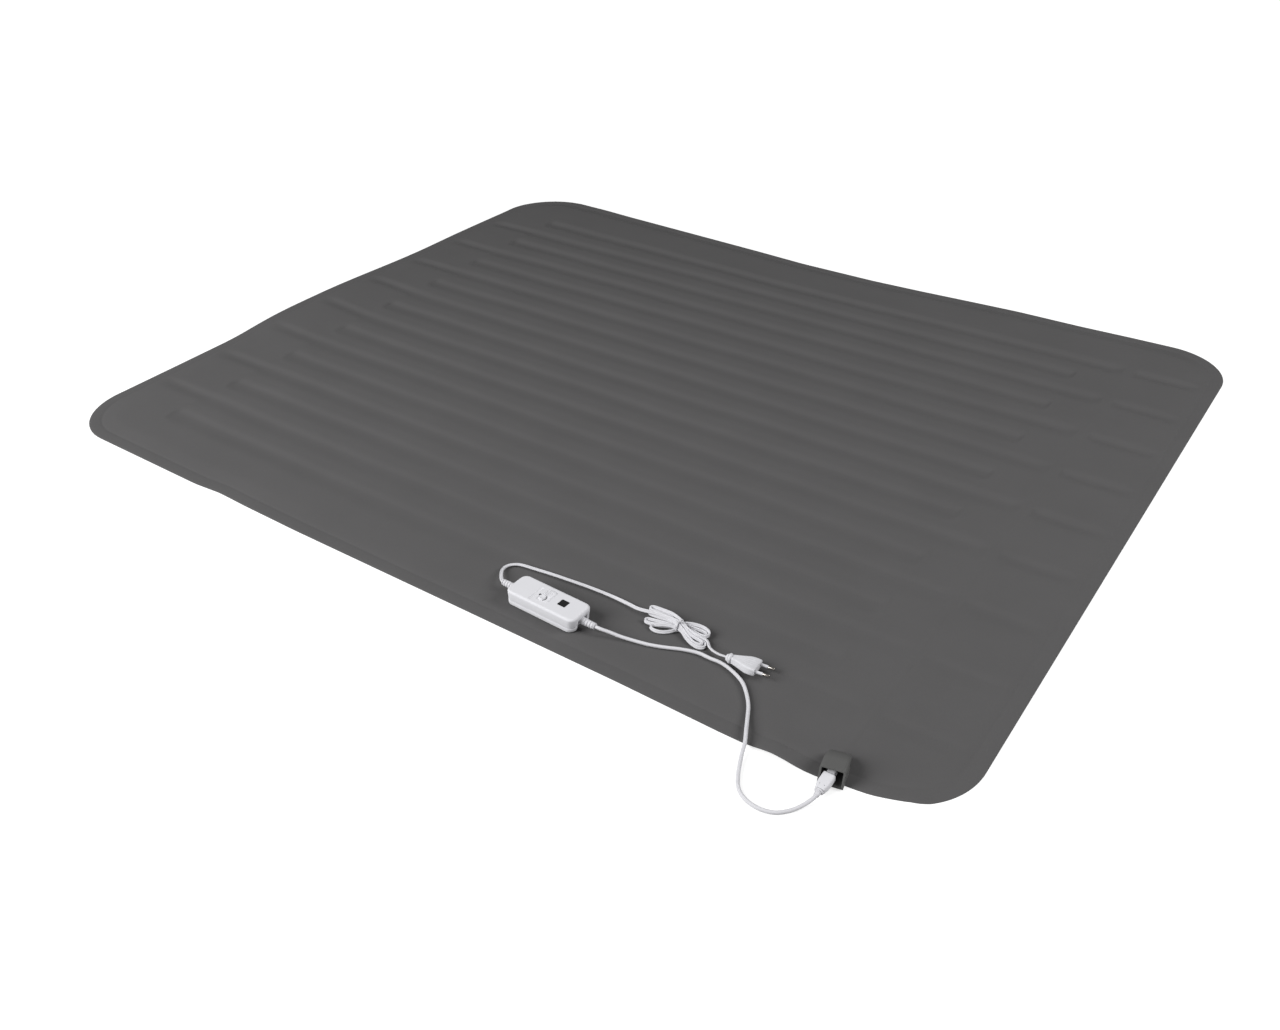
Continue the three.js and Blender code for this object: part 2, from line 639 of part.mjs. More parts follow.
// Sections back from the plug's face: half width, half height, half of the flat top, edge height.
const PLUG_BODY = [
  { x: 0, half: 14.8, halfHeight: 5.6, flat: 11.5, edge: 2.6 },
  { x: -8, half: 14.8, halfHeight: 6, flat: 11, edge: 2.8 },
  { x: -16, half: 12.4, halfHeight: 6, flat: 9.2, edge: 2.7 },
  { x: -24, half: 9.2, halfHeight: 5.6, flat: 6.6, edge: 2.6 },
  { x: -33, half: 5.8, halfHeight: 4.8, flat: 4, edge: 2.4 },
  { x: -35, half: 5.4, halfHeight: 4.6, flat: 3.7, edge: 2.3 },
];

const COLLAR = [[-40, 4], [-38.5, 6.8], [PLUG_BODY.at(-1).x - GAP, 6.8]]; // distance, radius
const FULLNESS = 0.72; // of the round sides: 0.5 is a plain slope

// One section: flat on top and underneath, with full round sides.
function plugLoop({ half, halfHeight, flat, edge }) {
  const quarter = [
    [half, edge],
    [flat + (half - flat) * FULLNESS, edge + (halfHeight - edge) * FULLNESS],
    [flat, halfHeight],
  ];
  const far = [...quarter, ...quarter.map(([y, z]) => [-y, z]).reverse()];
  const all = [...far, ...far.map(([y, z]) => [-y, -z])];
  return all.map(([y, z]) => new THREE.Vector2(y, z));
}

// A pin leans in towards its tip; its root is sleeved in plastic.
function plugPin(side, from, to, radius) {
  const lean = Math.atan2(PIN.root - PIN.tip, PIN.length);
  const shaft = turned([[from, radius], [to - 0.8, radius], [to, radius * 0.7]]);
  return shaft.rotateZ(-side * lean).translate(0, side * PIN.root, 0);
}

function buildPlug() {
  const group = new THREE.Group();
  group.position.set(PLUG.x, PLUG.y, PLUG.z);
  group.rotation.set(radians(PLUG.roll), 0, radians(PLUG.turn), 'ZYX');
  const body = loft(PLUG_BODY.map((section) => acrossX(plugLoop(section), section.x)));
  group.add(piece('plug_body', body, FINISH.shell));
  group.add(piece('plug_collar', turned(COLLAR), FINISH.shell));
  for (const [name, side] of [['far', 1], ['near', -1]]) {
    group.add(piece(`plug_sleeve_${name}`, plugPin(side, GAP, PIN.sleeve, PIN.radius), FINISH.shell));
    group.add(piece(`plug_pin_${name}`, plugPin(side, PIN.sleeve + GAP, PIN.length, PIN.radius), FINISH.pin));
  }
  return group;
}

// ------------------------------------------------------------------ the whole part

const pad = buildPad();
const socket = buildSocket();
const model = new THREE.Group();
model.add(pad, socket);

// The origin is the middle of the pad's and socket's box, on the surface they lie on.
const box = new THREE.Box3().setFromObject(model);
model.position.set(-(box.min.x + box.max.x) / 2, -(box.min.y + box.max.y) / 2, 0);
model.add(buildConnector(), buildController(), ...buildCords(), buildHank(), buildTie(), buildPlug());

export default model;
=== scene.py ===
import math

import bmesh
import bpy
import numpy as np
from mathutils import Matrix, Vector, noise


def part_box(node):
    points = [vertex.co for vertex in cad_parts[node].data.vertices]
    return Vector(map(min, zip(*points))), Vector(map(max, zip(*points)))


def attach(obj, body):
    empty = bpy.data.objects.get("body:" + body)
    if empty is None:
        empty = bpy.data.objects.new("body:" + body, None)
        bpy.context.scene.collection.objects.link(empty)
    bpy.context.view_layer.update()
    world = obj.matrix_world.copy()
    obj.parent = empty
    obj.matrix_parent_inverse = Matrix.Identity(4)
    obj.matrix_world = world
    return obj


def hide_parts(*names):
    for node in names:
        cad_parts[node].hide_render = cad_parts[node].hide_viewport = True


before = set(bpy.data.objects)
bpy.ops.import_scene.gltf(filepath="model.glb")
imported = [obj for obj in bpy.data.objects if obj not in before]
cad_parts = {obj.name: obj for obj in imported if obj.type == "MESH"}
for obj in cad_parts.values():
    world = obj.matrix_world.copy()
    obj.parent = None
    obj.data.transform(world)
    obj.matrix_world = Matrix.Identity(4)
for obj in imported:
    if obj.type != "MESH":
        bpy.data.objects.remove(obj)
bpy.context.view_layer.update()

# The shot: a catalogue view from over the near right corner of the pad, which lies with its
# long side running away to the left. The camera's place is counted from the controller, because
# that is the piece whose place along Y is known exactly.
CASE_NEAR = 0.592  # from the pad's middle to the controller's middle, along Y
CAMERA_STAND = (1.0285, -1.5264, 1.0145)
CAMERA_AIM = (-0.476, 0.669, -0.571)
CAMERA_LEVEL = (0.8204, 0.5717, -0.0141)
case_low, case_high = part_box("controller_lower")
ALONG_Y = (case_low.y + case_high.y) / 2 + CASE_NEAR


def put_in(name, data):
    """A new object in the scene."""
    made = bpy.data.objects.new(name, data)
    bpy.context.scene.collection.objects.link(made)
    return made


def placed(x, y, z, **turns):
    """A place counted from the pad's middle, with turns in degrees about the named axes, in order."""
    place = Matrix.Translation((x, y + ALONG_Y, z))
    for axis, angle in turns.items():
        place = place @ Matrix.Rotation(math.radians(angle), 4, axis)
    return place


camera_data = bpy.data.cameras.new("camera")
camera_data.lens = 33.58
camera_data.sensor_width = 36.0
camera_data.clip_start = 0.01
camera = put_in("camera", camera_data)
looking = Vector(CAMERA_AIM).normalized()
camera_right = Vector(CAMERA_LEVEL).normalized()
camera_up = camera_right.cross(looking).normalized()
camera_right = looking.cross(camera_up)
turn = Matrix((camera_right, camera_up, -looking)).transposed().to_4x4()
camera.matrix_world = placed(*CAMERA_STAND) @ turn
bpy.context.scene.camera = camera


# The pad: two layers of brushed non-woven cloth with a heating wire snaking between them. They are
# welded along seventeen lines, each stopping short of one end so that the wire can turn round it,
# and once more all round, a little in from the edge.
PAD_LENGTH = 1.6
PAD_WIDTH = 1.3
PAD_CORNER = 0.11
LINE_COUNT = 17
LINE_PITCH = 0.0645
LONG_END = 0.78  # how far the lines run towards the end that they reach
LEFT_STOP = -0.65  # where the even lines begin
RIGHT_STOP = 0.57  # where the odd lines end
WIRE_GAP = (0.6435, 0.6625)  # the even lines stop here to let the lead wires through
SOCKET_PATCH = dict(x=0.664, y=-0.658, turn=12.0, half=0.0165, deep=0.0495, fade=0.004)
SWELLS = [  # x, y, reach along x, nearer, farther, height
    (-0.8, -0.08, 0.2, 0.235, 0.34, 0.0094),
    (-0.8, -0.2, 0.16, 0.11, 0.12, 0.0026),
    (0.588, -0.65, 0.042, 0.06, 0.06, 0.0045),
]
FAR_DRAW = [  # place along the far edge, how far the welds draw that edge in there
    (-0.8, 0.02), (-0.737, 0.0105), (-0.676, 0.0024), (-0.6, 0.004), (-0.52, 0.009),
    (-0.38, 0.015), (-0.18, 0.024), (-0.06, 0.031), (0.1, 0.0305), (0.2, 0.025), (0.32, 0.016),
    (0.4, 0.0105), (0.52, 0.009), (0.62, 0.0043), (0.7, 0.002), (0.8, 0.002),
]
NEAR_DRAW = [  # the same for the near edge
    (-0.8, -0.002), (-0.443, -0.0035), (-0.39, 0.0008), (-0.328, -0.0012), (-0.215, -0.0027),
    (0.12, -0.0016), (0.37, -0.0014), (0.52, -0.0036), (0.64, -0.002), (0.683, 0.0046),
    (0.727, 0.0086), (0.747, 0.0076), (0.767, 0.0017), (0.8, 0.0),
]
LEFT_DRAW = [  # and for the left one
    (-0.65, 0.004), (-0.529, 0.004), (-0.42, 0.0024), (-0.3, 0.0), (0.34, 0.0), (0.425, 0.002),
    (0.518, 0.005), (0.65, 0.005),
]
EDGE_SECTION = [  # distance in from the edge, thickness of the cloth
    (0.0, 0.0009), (0.0012, 0.0013), (0.004, 0.0015), (0.016, 0.0015), (0.0185, 0.0013),
    (0.02, 0.001), (0.0215, 0.0013), (0.024, 0.0018), (0.03, 0.0023), (0.042, 0.0026),
]
WELD_LEFT = 0.0012  # thickness of the cloth in a weld
PLAIN = 0.0026  # and between the welds
GROOVE = 0.0027  # how far the top drops into a weld, at a fullness of 1
FAR_BANK = 0.0155  # from a weld to the top of the bank on its far side
NEAR_BANK = 0.033
FULLNESS = [  # place across the pad, fullness of the cloth there
    (-0.65, 0.95), (-0.516, 0.95), (-0.258, 1.05), (0.0, 1.2), (0.258, 1.4), (0.516, 1.6), (0.65, 1.6),
]
RIGHT_SLACK = 0.45  # how much less full the near right part is
UNEVEN = 0.15  # the share by which the fullness wanders from place to place
STRAY = (0.0011, 0.0006)  # how far the welds wander from straight, in long waves and in short ones
BORDER = (0.024, 0.05)  # the quilting fades in between these distances from the edge
LINE_SHIFT = 0.01  # the welds lie this much nearer than an even spacing
WELD_HALF = 0.0045
WIRE_HALF = 0.0045
WIRE_RISE = 0.0006
THINNEST = 0.0008
PRESSED = 0.00138  # thickness of the cloth under the socket's plate
NET_ALONG = 0.0155  # the widest spacing of the net's points
NET_ACROSS = 0.0051
FAR_REACH = 0.3  # how far in from its edge the pad is drawn along with it
EDGE_REACH = 0.15


def stations(marks, step):
    """Places through every mark, with no two further apart than the step."""
    marks = sorted(set(round(m, 6) for m in marks))
    places = [marks[0]]
    for low, high in zip(marks, marks[1:]):
        count = max(1, math.ceil((high - low) / step - 1e-6))
        places += [low + (high - low) * (i + 1) / count for i in range(count)]
    return np.array(places)


def read_along(table, places):
    places_at, values = zip(*table)
    return np.interp(places, places_at, values)


def hump(distance):
    return np.where(np.abs(distance) < 1, np.cos(distance * np.pi / 2) ** 2, 0.0)


def ramp(values, start, end):
    share = np.clip((values - start) / (end - start), 0, 1)
    return share * share * (3 - 2 * share)


def waves(x, y, reach_x, reach_y, seed):
    """Smooth uneven waves from -1 to 1, longer one way than the other."""
    flat = zip(x.ravel() / reach_x, y.ravel() / reach_y)
    found = [noise.noise(Vector((a, b, seed))) for a, b in flat]
    return np.array(found).reshape(x.shape)


def ridge_along(x, y, points, half_width):
    """1 on the line through the points, down to 0 at half_width beside it."""
    best = np.full(x.shape, 1e9)
    for (x0, y0), (x1, y1) in zip(points, points[1:]):
        run = np.array((x1 - x0, y1 - y0))
        share = np.clip(((x - x0) * run[0] + (y - y0) * run[1]) / (run @ run), 0, 1)
        best = np.minimum(best, np.hypot(x - x0 - share * run[0], y - y0 - share * run[1]))
    return hump(np.clip(best / half_width, 0, 1))


def round_off(x, y, half, half_up, corner):
    """Bends the corners of a square net round, so that its edge follows a rounded rectangle."""
    into_x = np.abs(x) - (half - corner)
    into_y = np.abs(y) - (half_up - corner)
    in_corner = (into_x > 0) & (into_y > 0)
    radius = np.maximum(into_x, into_y)
    slant = np.minimum(into_x, into_y) / np.maximum(radius, 1e-9) * (math.pi / 4)
    lean_x = np.where(into_x >= into_y, radius * np.cos(slant), radius * np.sin(slant))
    lean_y = np.where(into_x >= into_y, radius * np.sin(slant), radius * np.cos(slant))
    return (np.where(in_corner, np.sign(x) * (half - corner + lean_x), x),
            np.where(in_corner, np.sign(y) * (half_up - corner + lean_y), y))


def slab(x, y, top, bottom):
    """The points and faces of a closed slab between two nets of points."""
    count_up, count = x.shape
    points = [np.stack([x, y, z], axis=-1).reshape(-1, 3) for z in (top, bottom)]
    net = np.arange(count_up * count).reshape(count_up, count)
    a, b, c, d = net[:-1, :-1].ravel(), net[:-1, 1:].ravel(), net[1:, 1:].ravel(), net[1:, :-1].ravel()
    rim = np.concatenate([net[0, :-1], net[:-1, -1], net[-1, :0:-1], net[:0:-1, 0]])
    rim_next = np.roll(rim, -1)
    faces = [np.stack([a, b, c, d], axis=1), np.stack([a, d, c, b], axis=1) + net.size,
             np.stack([rim, rim + net.size, rim_next + net.size, rim_next], axis=1)]
    return np.concatenate(points).tolist(), np.concatenate(faces).tolist()


line_places = [(i - (LINE_COUNT - 1) / 2) * LINE_PITCH for i in range(LINE_COUNT)]
border = [place for place, _ in EDGE_SECTION]
across = [side * (PAD_LENGTH / 2 - inset) for inset in border for side in (-1, 1)]
for stop in (LEFT_STOP, -LONG_END, LONG_END):
    across += [stop + shift for shift in (-0.012, -0.008, -0.004, 0.0, 0.004, 0.01)]
across += [RIGHT_STOP + 0.0025 * i for i in range(-3, 9)]
across += [0.642 + 0.0025 * i for i in range(10)]
upward = [side * (PAD_WIDTH / 2 - inset) for inset in border for side in (-1, 1)]
columns = stations(across, NET_ALONG)
rows = stations(upward, NET_ACROSS)
u, v = np.meshgrid(columns, rows)

inset = np.minimum(PAD_LENGTH / 2 - np.abs(u), PAD_WIDTH / 2 - np.abs(v))
flat_x, flat_y = round_off(u, v, PAD_LENGTH / 2, PAD_WIDTH / 2, PAD_CORNER)

inside = ramp(inset, *BORDER)
fullness = read_along(FULLNESS, v) - RIGHT_SLACK * ramp(u, -0.5, 0.05) * (1 - ramp(v, -0.5, 0.0))
fullness *= 1 + UNEVEN * waves(u, v, 0.16, 0.07, 8.4)
groove = np.zeros_like(u)
weld = np.zeros_like(u)
wires = np.zeros_like(u)
for index, line in enumerate(line_places):
    if index % 2 == 0:
        along = ramp(u, LEFT_STOP - 0.01, LEFT_STOP + 0.002)
        along *= 1 - ramp(u, LONG_END - 0.004, LONG_END + 0.006)
        along *= 1 - ramp(u, WIRE_GAP[0] - 0.004, WIRE_GAP[0]) + ramp(u, WIRE_GAP[1], WIRE_GAP[1] + 0.004)
    else:
        along = 1 - ramp(u, RIGHT_STOP - 0.002, RIGHT_STOP + 0.01)
        along *= ramp(u, -LONG_END - 0.006, -LONG_END + 0.004)
    stray = STRAY[0] * np.sin(9 * u + 2.3 * index) + STRAY[1] * np.sin(27 * u + 5.1 * index)
    off = v - (line - LINE_SHIFT + stray)
    outer = np.where((u < LEFT_STOP) | (u > WIRE_GAP[1]), 0.8, 1.0)
    share = along * hump(np.where(off > 0, off / FAR_BANK, off / NEAR_BANK) / outer)
    groove = np.maximum(groove, share)
    weld = np.maximum(weld, along * np.clip(1 - np.abs(off) / WELD_HALF, 0, 1))
    stop, outward = (LEFT_STOP, -1) if index % 2 == 0 else (RIGHT_STOP, 1)
    loop = [(stop + outward * past, line + aside) for past, aside in (
        (-0.02, 0.019), (0.003, 0.013), (0.008, 0.002), (0.008, -0.026), (0.002, -0.036), (-0.02, -0.042))]
    wires = np.maximum(wires, ridge_along(u, v, loop, WIRE_HALF))
lead_run = [(0.653 + 0.0016 * math.sin(7 * i), -0.6 + 0.05 * i) for i in range(24)]
wires = np.maximum(wires, ridge_along(u, v, lead_run, WIRE_HALF) * (1 - 0.5 * ramp(v, -0.2, 0.5)))
depth = GROOVE * fullness
cloth = np.minimum(read_along(EDGE_SECTION, inset), PLAIN)
cloth -= np.minimum(depth, PLAIN - WELD_LEFT) * groove * inside
cloth += inside * (WIRE_RISE * wires + 0.0001 * waves(u, v, 0.1, 0.03, 3.1))
cloth = np.maximum(cloth, THINNEST)
# What the cloth's own thickness can't give of that depth, its banks give by lifting off the floor.
raised = np.maximum(depth - (PLAIN - WELD_LEFT), 0) * (1 - groove) * inside

# The cloth is pressed flat under the socket's plate.
patch_turn = math.radians(SOCKET_PATCH["turn"])
side_of = flat_x - SOCKET_PATCH["x"]
back_of = flat_y - SOCKET_PATCH["y"]
patch_x = side_of * math.cos(patch_turn) + back_of * math.sin(patch_turn)
patch_y = -side_of * math.sin(patch_turn) + back_of * math.cos(patch_turn)
pressed = 1 - ramp(np.abs(patch_x), SOCKET_PATCH["half"], SOCKET_PATCH["half"] + SOCKET_PATCH["fade"])
pressed *= 1 - ramp(patch_y, SOCKET_PATCH["deep"], SOCKET_PATCH["deep"] + SOCKET_PATCH["fade"])
cloth = np.where(pressed > 0, cloth + pressed * (np.minimum(cloth, PRESSED) - cloth), cloth)

# The welds draw the far and the left edge in, and the packing has left a few long swells.
far_share = np.maximum(0, 1 - (PAD_WIDTH / 2 - flat_y) / FAR_REACH) ** 1.6
near_share = np.maximum(0, 1 - (flat_y + PAD_WIDTH / 2) / EDGE_REACH)
left_share = np.maximum(0, 1 - (flat_x + PAD_LENGTH / 2) / EDGE_REACH)
lie_x = flat_x + read_along(LEFT_DRAW, flat_y) * left_share
lie_y = flat_y - read_along(FAR_DRAW, flat_x) * far_share + read_along(NEAR_DRAW, flat_x) * near_share
lift = raised * (1 - pressed)
for x, y, reach_x, near, far, height in SWELLS:
    along_y = np.where(flat_y > y, (flat_y - y) / far, (flat_y - y) / near)
    lift += height * hump((flat_x - x) / reach_x) * hump(along_y)

under = 0.00025 * weld + 0.00015 * (1 - ramp(inset, 0.0, 0.0012))
pad_points, pad_faces = slab(lie_x, lie_y + ALONG_Y, lift + cloth, lift + under)
pad_mesh = bpy.data.meshes.new("pad")
pad_mesh.from_pydata(pad_points, [], pad_faces)
pad_mesh.shade_smooth()
pad_mesh.set_sharp_from_angle(angle=math.radians(60))
weld_mark = pad_mesh.attributes.new("weld", "FLOAT", "POINT")
weld_mark.data.foreach_set("value", np.concatenate([weld.ravel(), weld.ravel()]).astype(np.float32))
pad = put_in("pad", pad_mesh)


def shader(name, colour, roughness, **settings):
    """A material, a function that adds a node and its links, and one that feeds its shader."""
    made = bpy.data.materials.new(name)
    made.use_nodes = True
    tree = made.node_tree
    surface = tree.nodes["Principled BSDF"]
    surface.inputs["Base Color"].default_value = (*colour, 1)
    surface.inputs["Roughness"].default_value = roughness
    for socket, value in settings.items():
        surface.inputs[socket.replace("_", " ")].default_value = value

    def add(kind, links=None, values=None, **properties):
        node = tree.nodes.new(kind)
        for key, value in properties.items():
            setattr(node, key, value)
        for key, value in (values or {}).items():
            node.inputs[key].default_value = value
        for key, source in (links or {}).items():
            tree.links.new(source, node.inputs[key])
        return node

    def feed(socket, source):
        tree.links.new(source, surface.inputs[socket])

    return made, add, feed


# Brushed cloth: a fine fuzz, a soft mottle, and small crosswise teeth pressed into the welds.
CLOTH_COLOUR = (0.0968, 0.0949, 0.0958)
TOOTH_PITCH = 0.005
cloth_material, add, feed = shader("pad_cloth_grey", CLOTH_COLOUR, 0.95, Specular_IOR_Level=0.08,
                                   Sheen_Weight=0.02, Sheen_Roughness=0.6)
where = add("ShaderNodeTexCoord").outputs["Object"]
mottle = add("ShaderNodeTexNoise", {"Vector": where}, {"Scale": 9.0, "Detail": 3.0, "Roughness": 0.55})
fuzz = add("ShaderNodeTexNoise", {"Vector": where}, {"Scale": 900.0, "Detail": 3.0, "Roughness": 0.7})
shade = add("ShaderNodeMath", {0: mottle.outputs["Fac"]}, {1: 0.12}, operation="MULTIPLY")
fleck = add("ShaderNodeMath", {0: fuzz.outputs["Fac"], 2: shade.outputs[0]}, {1: 0.22},
            operation="MULTIPLY_ADD")
level = add("ShaderNodeMath", {0: fleck.outputs[0]}, {1: 0.83}, operation="ADD")
seam = add("ShaderNodeAttribute", attribute_name="weld").outputs["Fac"]
seam_shade = add("ShaderNodeMath", {0: seam}, {1: -0.02, 2: 1.0}, operation="MULTIPLY_ADD")
total = add("ShaderNodeMath", {0: level.outputs[0], 1: seam_shade.outputs[0]}, operation="MULTIPLY")
tint = add("ShaderNodeVectorMath", {"Scale": total.outputs[0]}, {0: CLOTH_COLOUR}, operation="SCALE")
feed("Base Color", tint.outputs[0])
apart = add("ShaderNodeSeparateXYZ", {0: where}).outputs["X"]
teeth = add("ShaderNodeMath", {0: apart}, {1: 2 * math.pi / TOOTH_PITCH}, operation="MULTIPLY")
teeth = add("ShaderNodeMath", {0: teeth.outputs[0]}, operation="SINE")
teeth = add("ShaderNodeMath", {0: teeth.outputs[0], 1: seam}, operation="MULTIPLY")
rough_top = add("ShaderNodeMath", {0: teeth.outputs[0], 2: fuzz.outputs["Fac"]}, {1: 0.6},
                operation="MULTIPLY_ADD")
relief = add("ShaderNodeBump", {"Height": rough_top.outputs[0]}, {"Strength": 0.35, "Distance": 0.0005})
feed("Normal", relief.outputs["Normal"])
pad_mesh.materials.append(cloth_material)
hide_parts("pad_cloth")
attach(pad, "pad")


# The socket: a moulded plate pressed onto the cloth at the near edge, with a hollow cover welded to
# it. The cover's roof slopes down to the cloth behind, and its mouth faces out over the edge.
SOCKET_FLOOR = 0.0017
SOCKET_PLATE = 0.0038
SOCKET_ROOF = 0.0235
SOCKET_BACK_ROOF = 0.012
SOCKET_HALF = 0.015
SOCKET_BACK_HALF = 0.012
SOCKET_ROOF_DEPTH = 0.028
SOCKET_DEPTH = 0.048
SOCKET_WALL = 0.0024
POCKET_DEPTH = 0.026
MOUTH_LEAN = 0.008  # the roof begins this much further back than the foot of the walls
SOCKET_PLACE = placed(SOCKET_PATCH["x"], SOCKET_PATCH["y"], 0, Z=SOCKET_PATCH["turn"])


def rounded(half, half_up, corner, steps=6, middle=(0.0, 0.0)):
    """A rectangle with round corners, as points counter-clockwise."""
    points = []
    for quarter in range(4):
        cx = (half - corner) * (1 if quarter in (0, 3) else -1)
        cy = (half_up - corner) * (1 if quarter in (0, 1) else -1)
        for i in range(steps + 1):
            angle = (quarter + i / steps) * math.pi / 2
            points.append((middle[0] + cx + corner * math.cos(angle),
                           middle[1] + cy + corner * math.sin(angle)))
    return points


def loft(rings, close=True):
    """A mesh through a row of like rings, with a flat face on the first and the last."""
    mesh = bmesh.new()
    made = [[mesh.verts.new(point) for point in ring] for ring in rings]
    for first, second in zip(made, made[1:]):
        for i in range(len(first)):
            j = (i + 1) % len(first)
            mesh.faces.new((first[i], first[j], second[j], second[i]))
    if close:
        mesh.faces.new(made[0][::-1])
        mesh.faces.new(made[-1])
    bmesh.ops.recalc_face_normals(mesh, faces=mesh.faces)
    return mesh


def soften(mesh, width, segments=2, sharper_than=35.0):
    """Rounds every edge of a mesh that is sharper than that many degrees."""
    limit = math.radians(sharper_than)
    sharp = [e for e in mesh.edges if len(e.link_faces) == 2 and e.calc_face_angle(0.0) > limit]
    bmesh.ops.bevel(mesh, geom=sharp, offset=width, segments=segments, profile=0.5, affect="EDGES",
                    clamp_overlap=True)
    return mesh


def finish_piece(mesh, name, place, material, body, replaces=(), flat_over=40.0):
    """Puts a mesh in its place as a piece that rides on a body."""
    mesh.transform(place)
    data = bpy.data.meshes.new(name)
    mesh.to_mesh(data)
    mesh.free()
    data.shade_smooth()
    data.set_sharp_from_angle(angle=math.radians(flat_over))
    for face in data.polygons:
        # A broad flat face would take streaks from the rounded edges beside it.
        if face.area > 5e-6 and (len(face.vertices) > 4 or abs(face.normal.z) > 0.9999):
            face.use_smooth = False
    data.materials.append(material)
    piece = put_in(name, data)
    if replaces:
        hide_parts(*replaces)
    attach(piece, body)
    return piece


def moulded(name, colour, roughness, grain=1500.0, depth=0.00004, **settings):
    """Moulded plastic: a fine even grain, a faint unevenness of shade and of shine."""
    made, add, feed = shader(name, colour, roughness, **settings)
    where = add("ShaderNodeTexCoord").outputs["Object"]
    cloud = add("ShaderNodeTexNoise", {"Vector": where}, {"Scale": 45.0, "Detail": 2.0})
    fine = add("ShaderNodeTexNoise", {"Vector": where}, {"Scale": grain, "Detail": 2.0})
    level = add("ShaderNodeMath", {0: cloud.outputs["Fac"]}, {1: 0.05, 2: 0.975}, operation="MULTIPLY_ADD")
    tint = add("ShaderNodeVectorMath", {"Scale": level.outputs[0]}, {0: colour}, operation="SCALE")
    feed("Base Color", tint.outputs[0])
    shine = add("ShaderNodeMath", {0: fine.outputs["Fac"]}, {1: 0.16, 2: roughness - 0.08},
                operation="MULTIPLY_ADD")
    feed("Roughness", shine.outputs[0])
    grain_bump = add("ShaderNodeBump", {"Height": fine.outputs["Fac"]}, {"Strength": 0.5, "Distance": depth})
    feed("Normal", grain_bump.outputs["Normal"])
    return made


socket_grey = moulded("socket_grey", (0.102, 0.102, 0.1), 0.6, depth=0.00008, Specular_IOR_Level=0.2)


def socket_outline(margin):
    front, back, end = SOCKET_HALF + margin, SOCKET_BACK_HALF + margin, SOCKET_DEPTH + margin
    return [(-front, -margin), (front, -margin), (front, SOCKET_ROOF_DEPTH), (back, end), (-back, end),
            (-front, SOCKET_ROOF_DEPTH)]


plate = loft([[(x, y, z) for x, y in socket_outline(0)] for z in (SOCKET_FLOOR, SOCKET_PLATE)])
finish_piece(soften(plate, 0.0005), "socket_plate", SOCKET_PLACE, socket_grey, "pad",
             ["socket_base"])


def arch(half, low, roof, corner, y, lean=0.0, steps=6):
    """A section of the cover: flat below, round above, its roof set back from its foot by the lean."""
    points = [(-half, low), (half, low)]
    for side in (1, -1):
        for i in range(steps + 1):
            angle = (i / steps) * math.pi / 2 if side > 0 else math.pi / 2 + (i / steps) * math.pi / 2
            points.append((side * (half - corner) + corner * math.cos(angle),
                           roof - corner + corner * math.sin(angle)))
    return [(x, y + lean * (z - low) / (roof - low), z) for x, z in points]


cover_floor = SOCKET_PLATE + 0.0003
inner_half = SOCKET_HALF - SOCKET_WALL
inner_roof = SOCKET_ROOF - SOCKET_WALL
cover = loft([
    arch(inner_half, cover_floor + 0.0004, inner_roof, 0.0012, POCKET_DEPTH),
    arch(inner_half, cover_floor + 0.0004, inner_roof, 0.0012, 0.0, MOUTH_LEAN * 0.9),
    arch(SOCKET_HALF, cover_floor, SOCKET_ROOF, 0.0038, 0.0, MOUTH_LEAN),
    arch(SOCKET_HALF, cover_floor, SOCKET_ROOF, 0.0038, SOCKET_ROOF_DEPTH - 0.004),
    arch(SOCKET_HALF - 0.0006, cover_floor, SOCKET_ROOF - 0.0011, 0.0038, SOCKET_ROOF_DEPTH + 0.003),
    arch(SOCKET_BACK_HALF + 0.0008, cover_floor, SOCKET_BACK_ROOF + 0.003, 0.0038, SOCKET_DEPTH - 0.0045),
    arch(SOCKET_BACK_HALF, cover_floor, SOCKET_BACK_ROOF, 0.0038, SOCKET_DEPTH - 0.0012),
    arch(SOCKET_BACK_HALF - 0.0014, cover_floor, SOCKET_BACK_ROOF - 0.0035, 0.0025, SOCKET_DEPTH),
])
finish_piece(soften(cover, 0.0006), "socket_cover_shell", SOCKET_PLACE, socket_grey, "pad",
             ["socket_cover"])


# The controller: two white moulded shells snapped together, a dark window for the lamp, and a slide
# switch with a dished finger grip. A ribbed strain relief holds the cord at each end.
CASE_PLACE = placed(0.2125, -CASE_NEAR, 0.0033, Z=-2)
CASE_HALF = 0.059
CASE_HALF_WIDTH = 0.0215
CASE_HEIGHT = 0.023
CASE_CORNER = 0.0105
CASE_CUT = 0.0036  # how much shorter the right end is at the foot than at the top
CASE_EDGE = 0.0034
CASE_PARTING = 0.0074
CASE_PORT = 0.0115
CASE_DRAFT = 0.0006  # how far the upper shell's walls draw in on their way down to the parting
shell_white = moulded("shell_white", (0.672, 0.672, 0.7), 0.55, Specular_IOR_Level=0.15)
cord_white = moulded("cord_white", (0.64, 0.637, 0.665), 0.55, grain=1100.0, Specular_IOR_Level=0.3)


def case_ring(z, inset):
    """The shell's outline at a height, drawn in by the inset."""
    cut = CASE_CUT / 2 * (1 - float(ramp(np.array(z), -0.004, 0.016)))
    inset += CASE_DRAFT * (1 - float(ramp(np.array(z), CASE_PARTING, 0.019)))
    outline = rounded(CASE_HALF - cut - inset, CASE_HALF_WIDTH - inset, CASE_CORNER - inset, 10,
                      (-cut, 0.0))
    return [(x, y, z) for x, y in outline]


def prism(outline, low, high):
    return loft([[(x, y, low) for x, y in outline], [(x, y, high) for x, y in outline]])


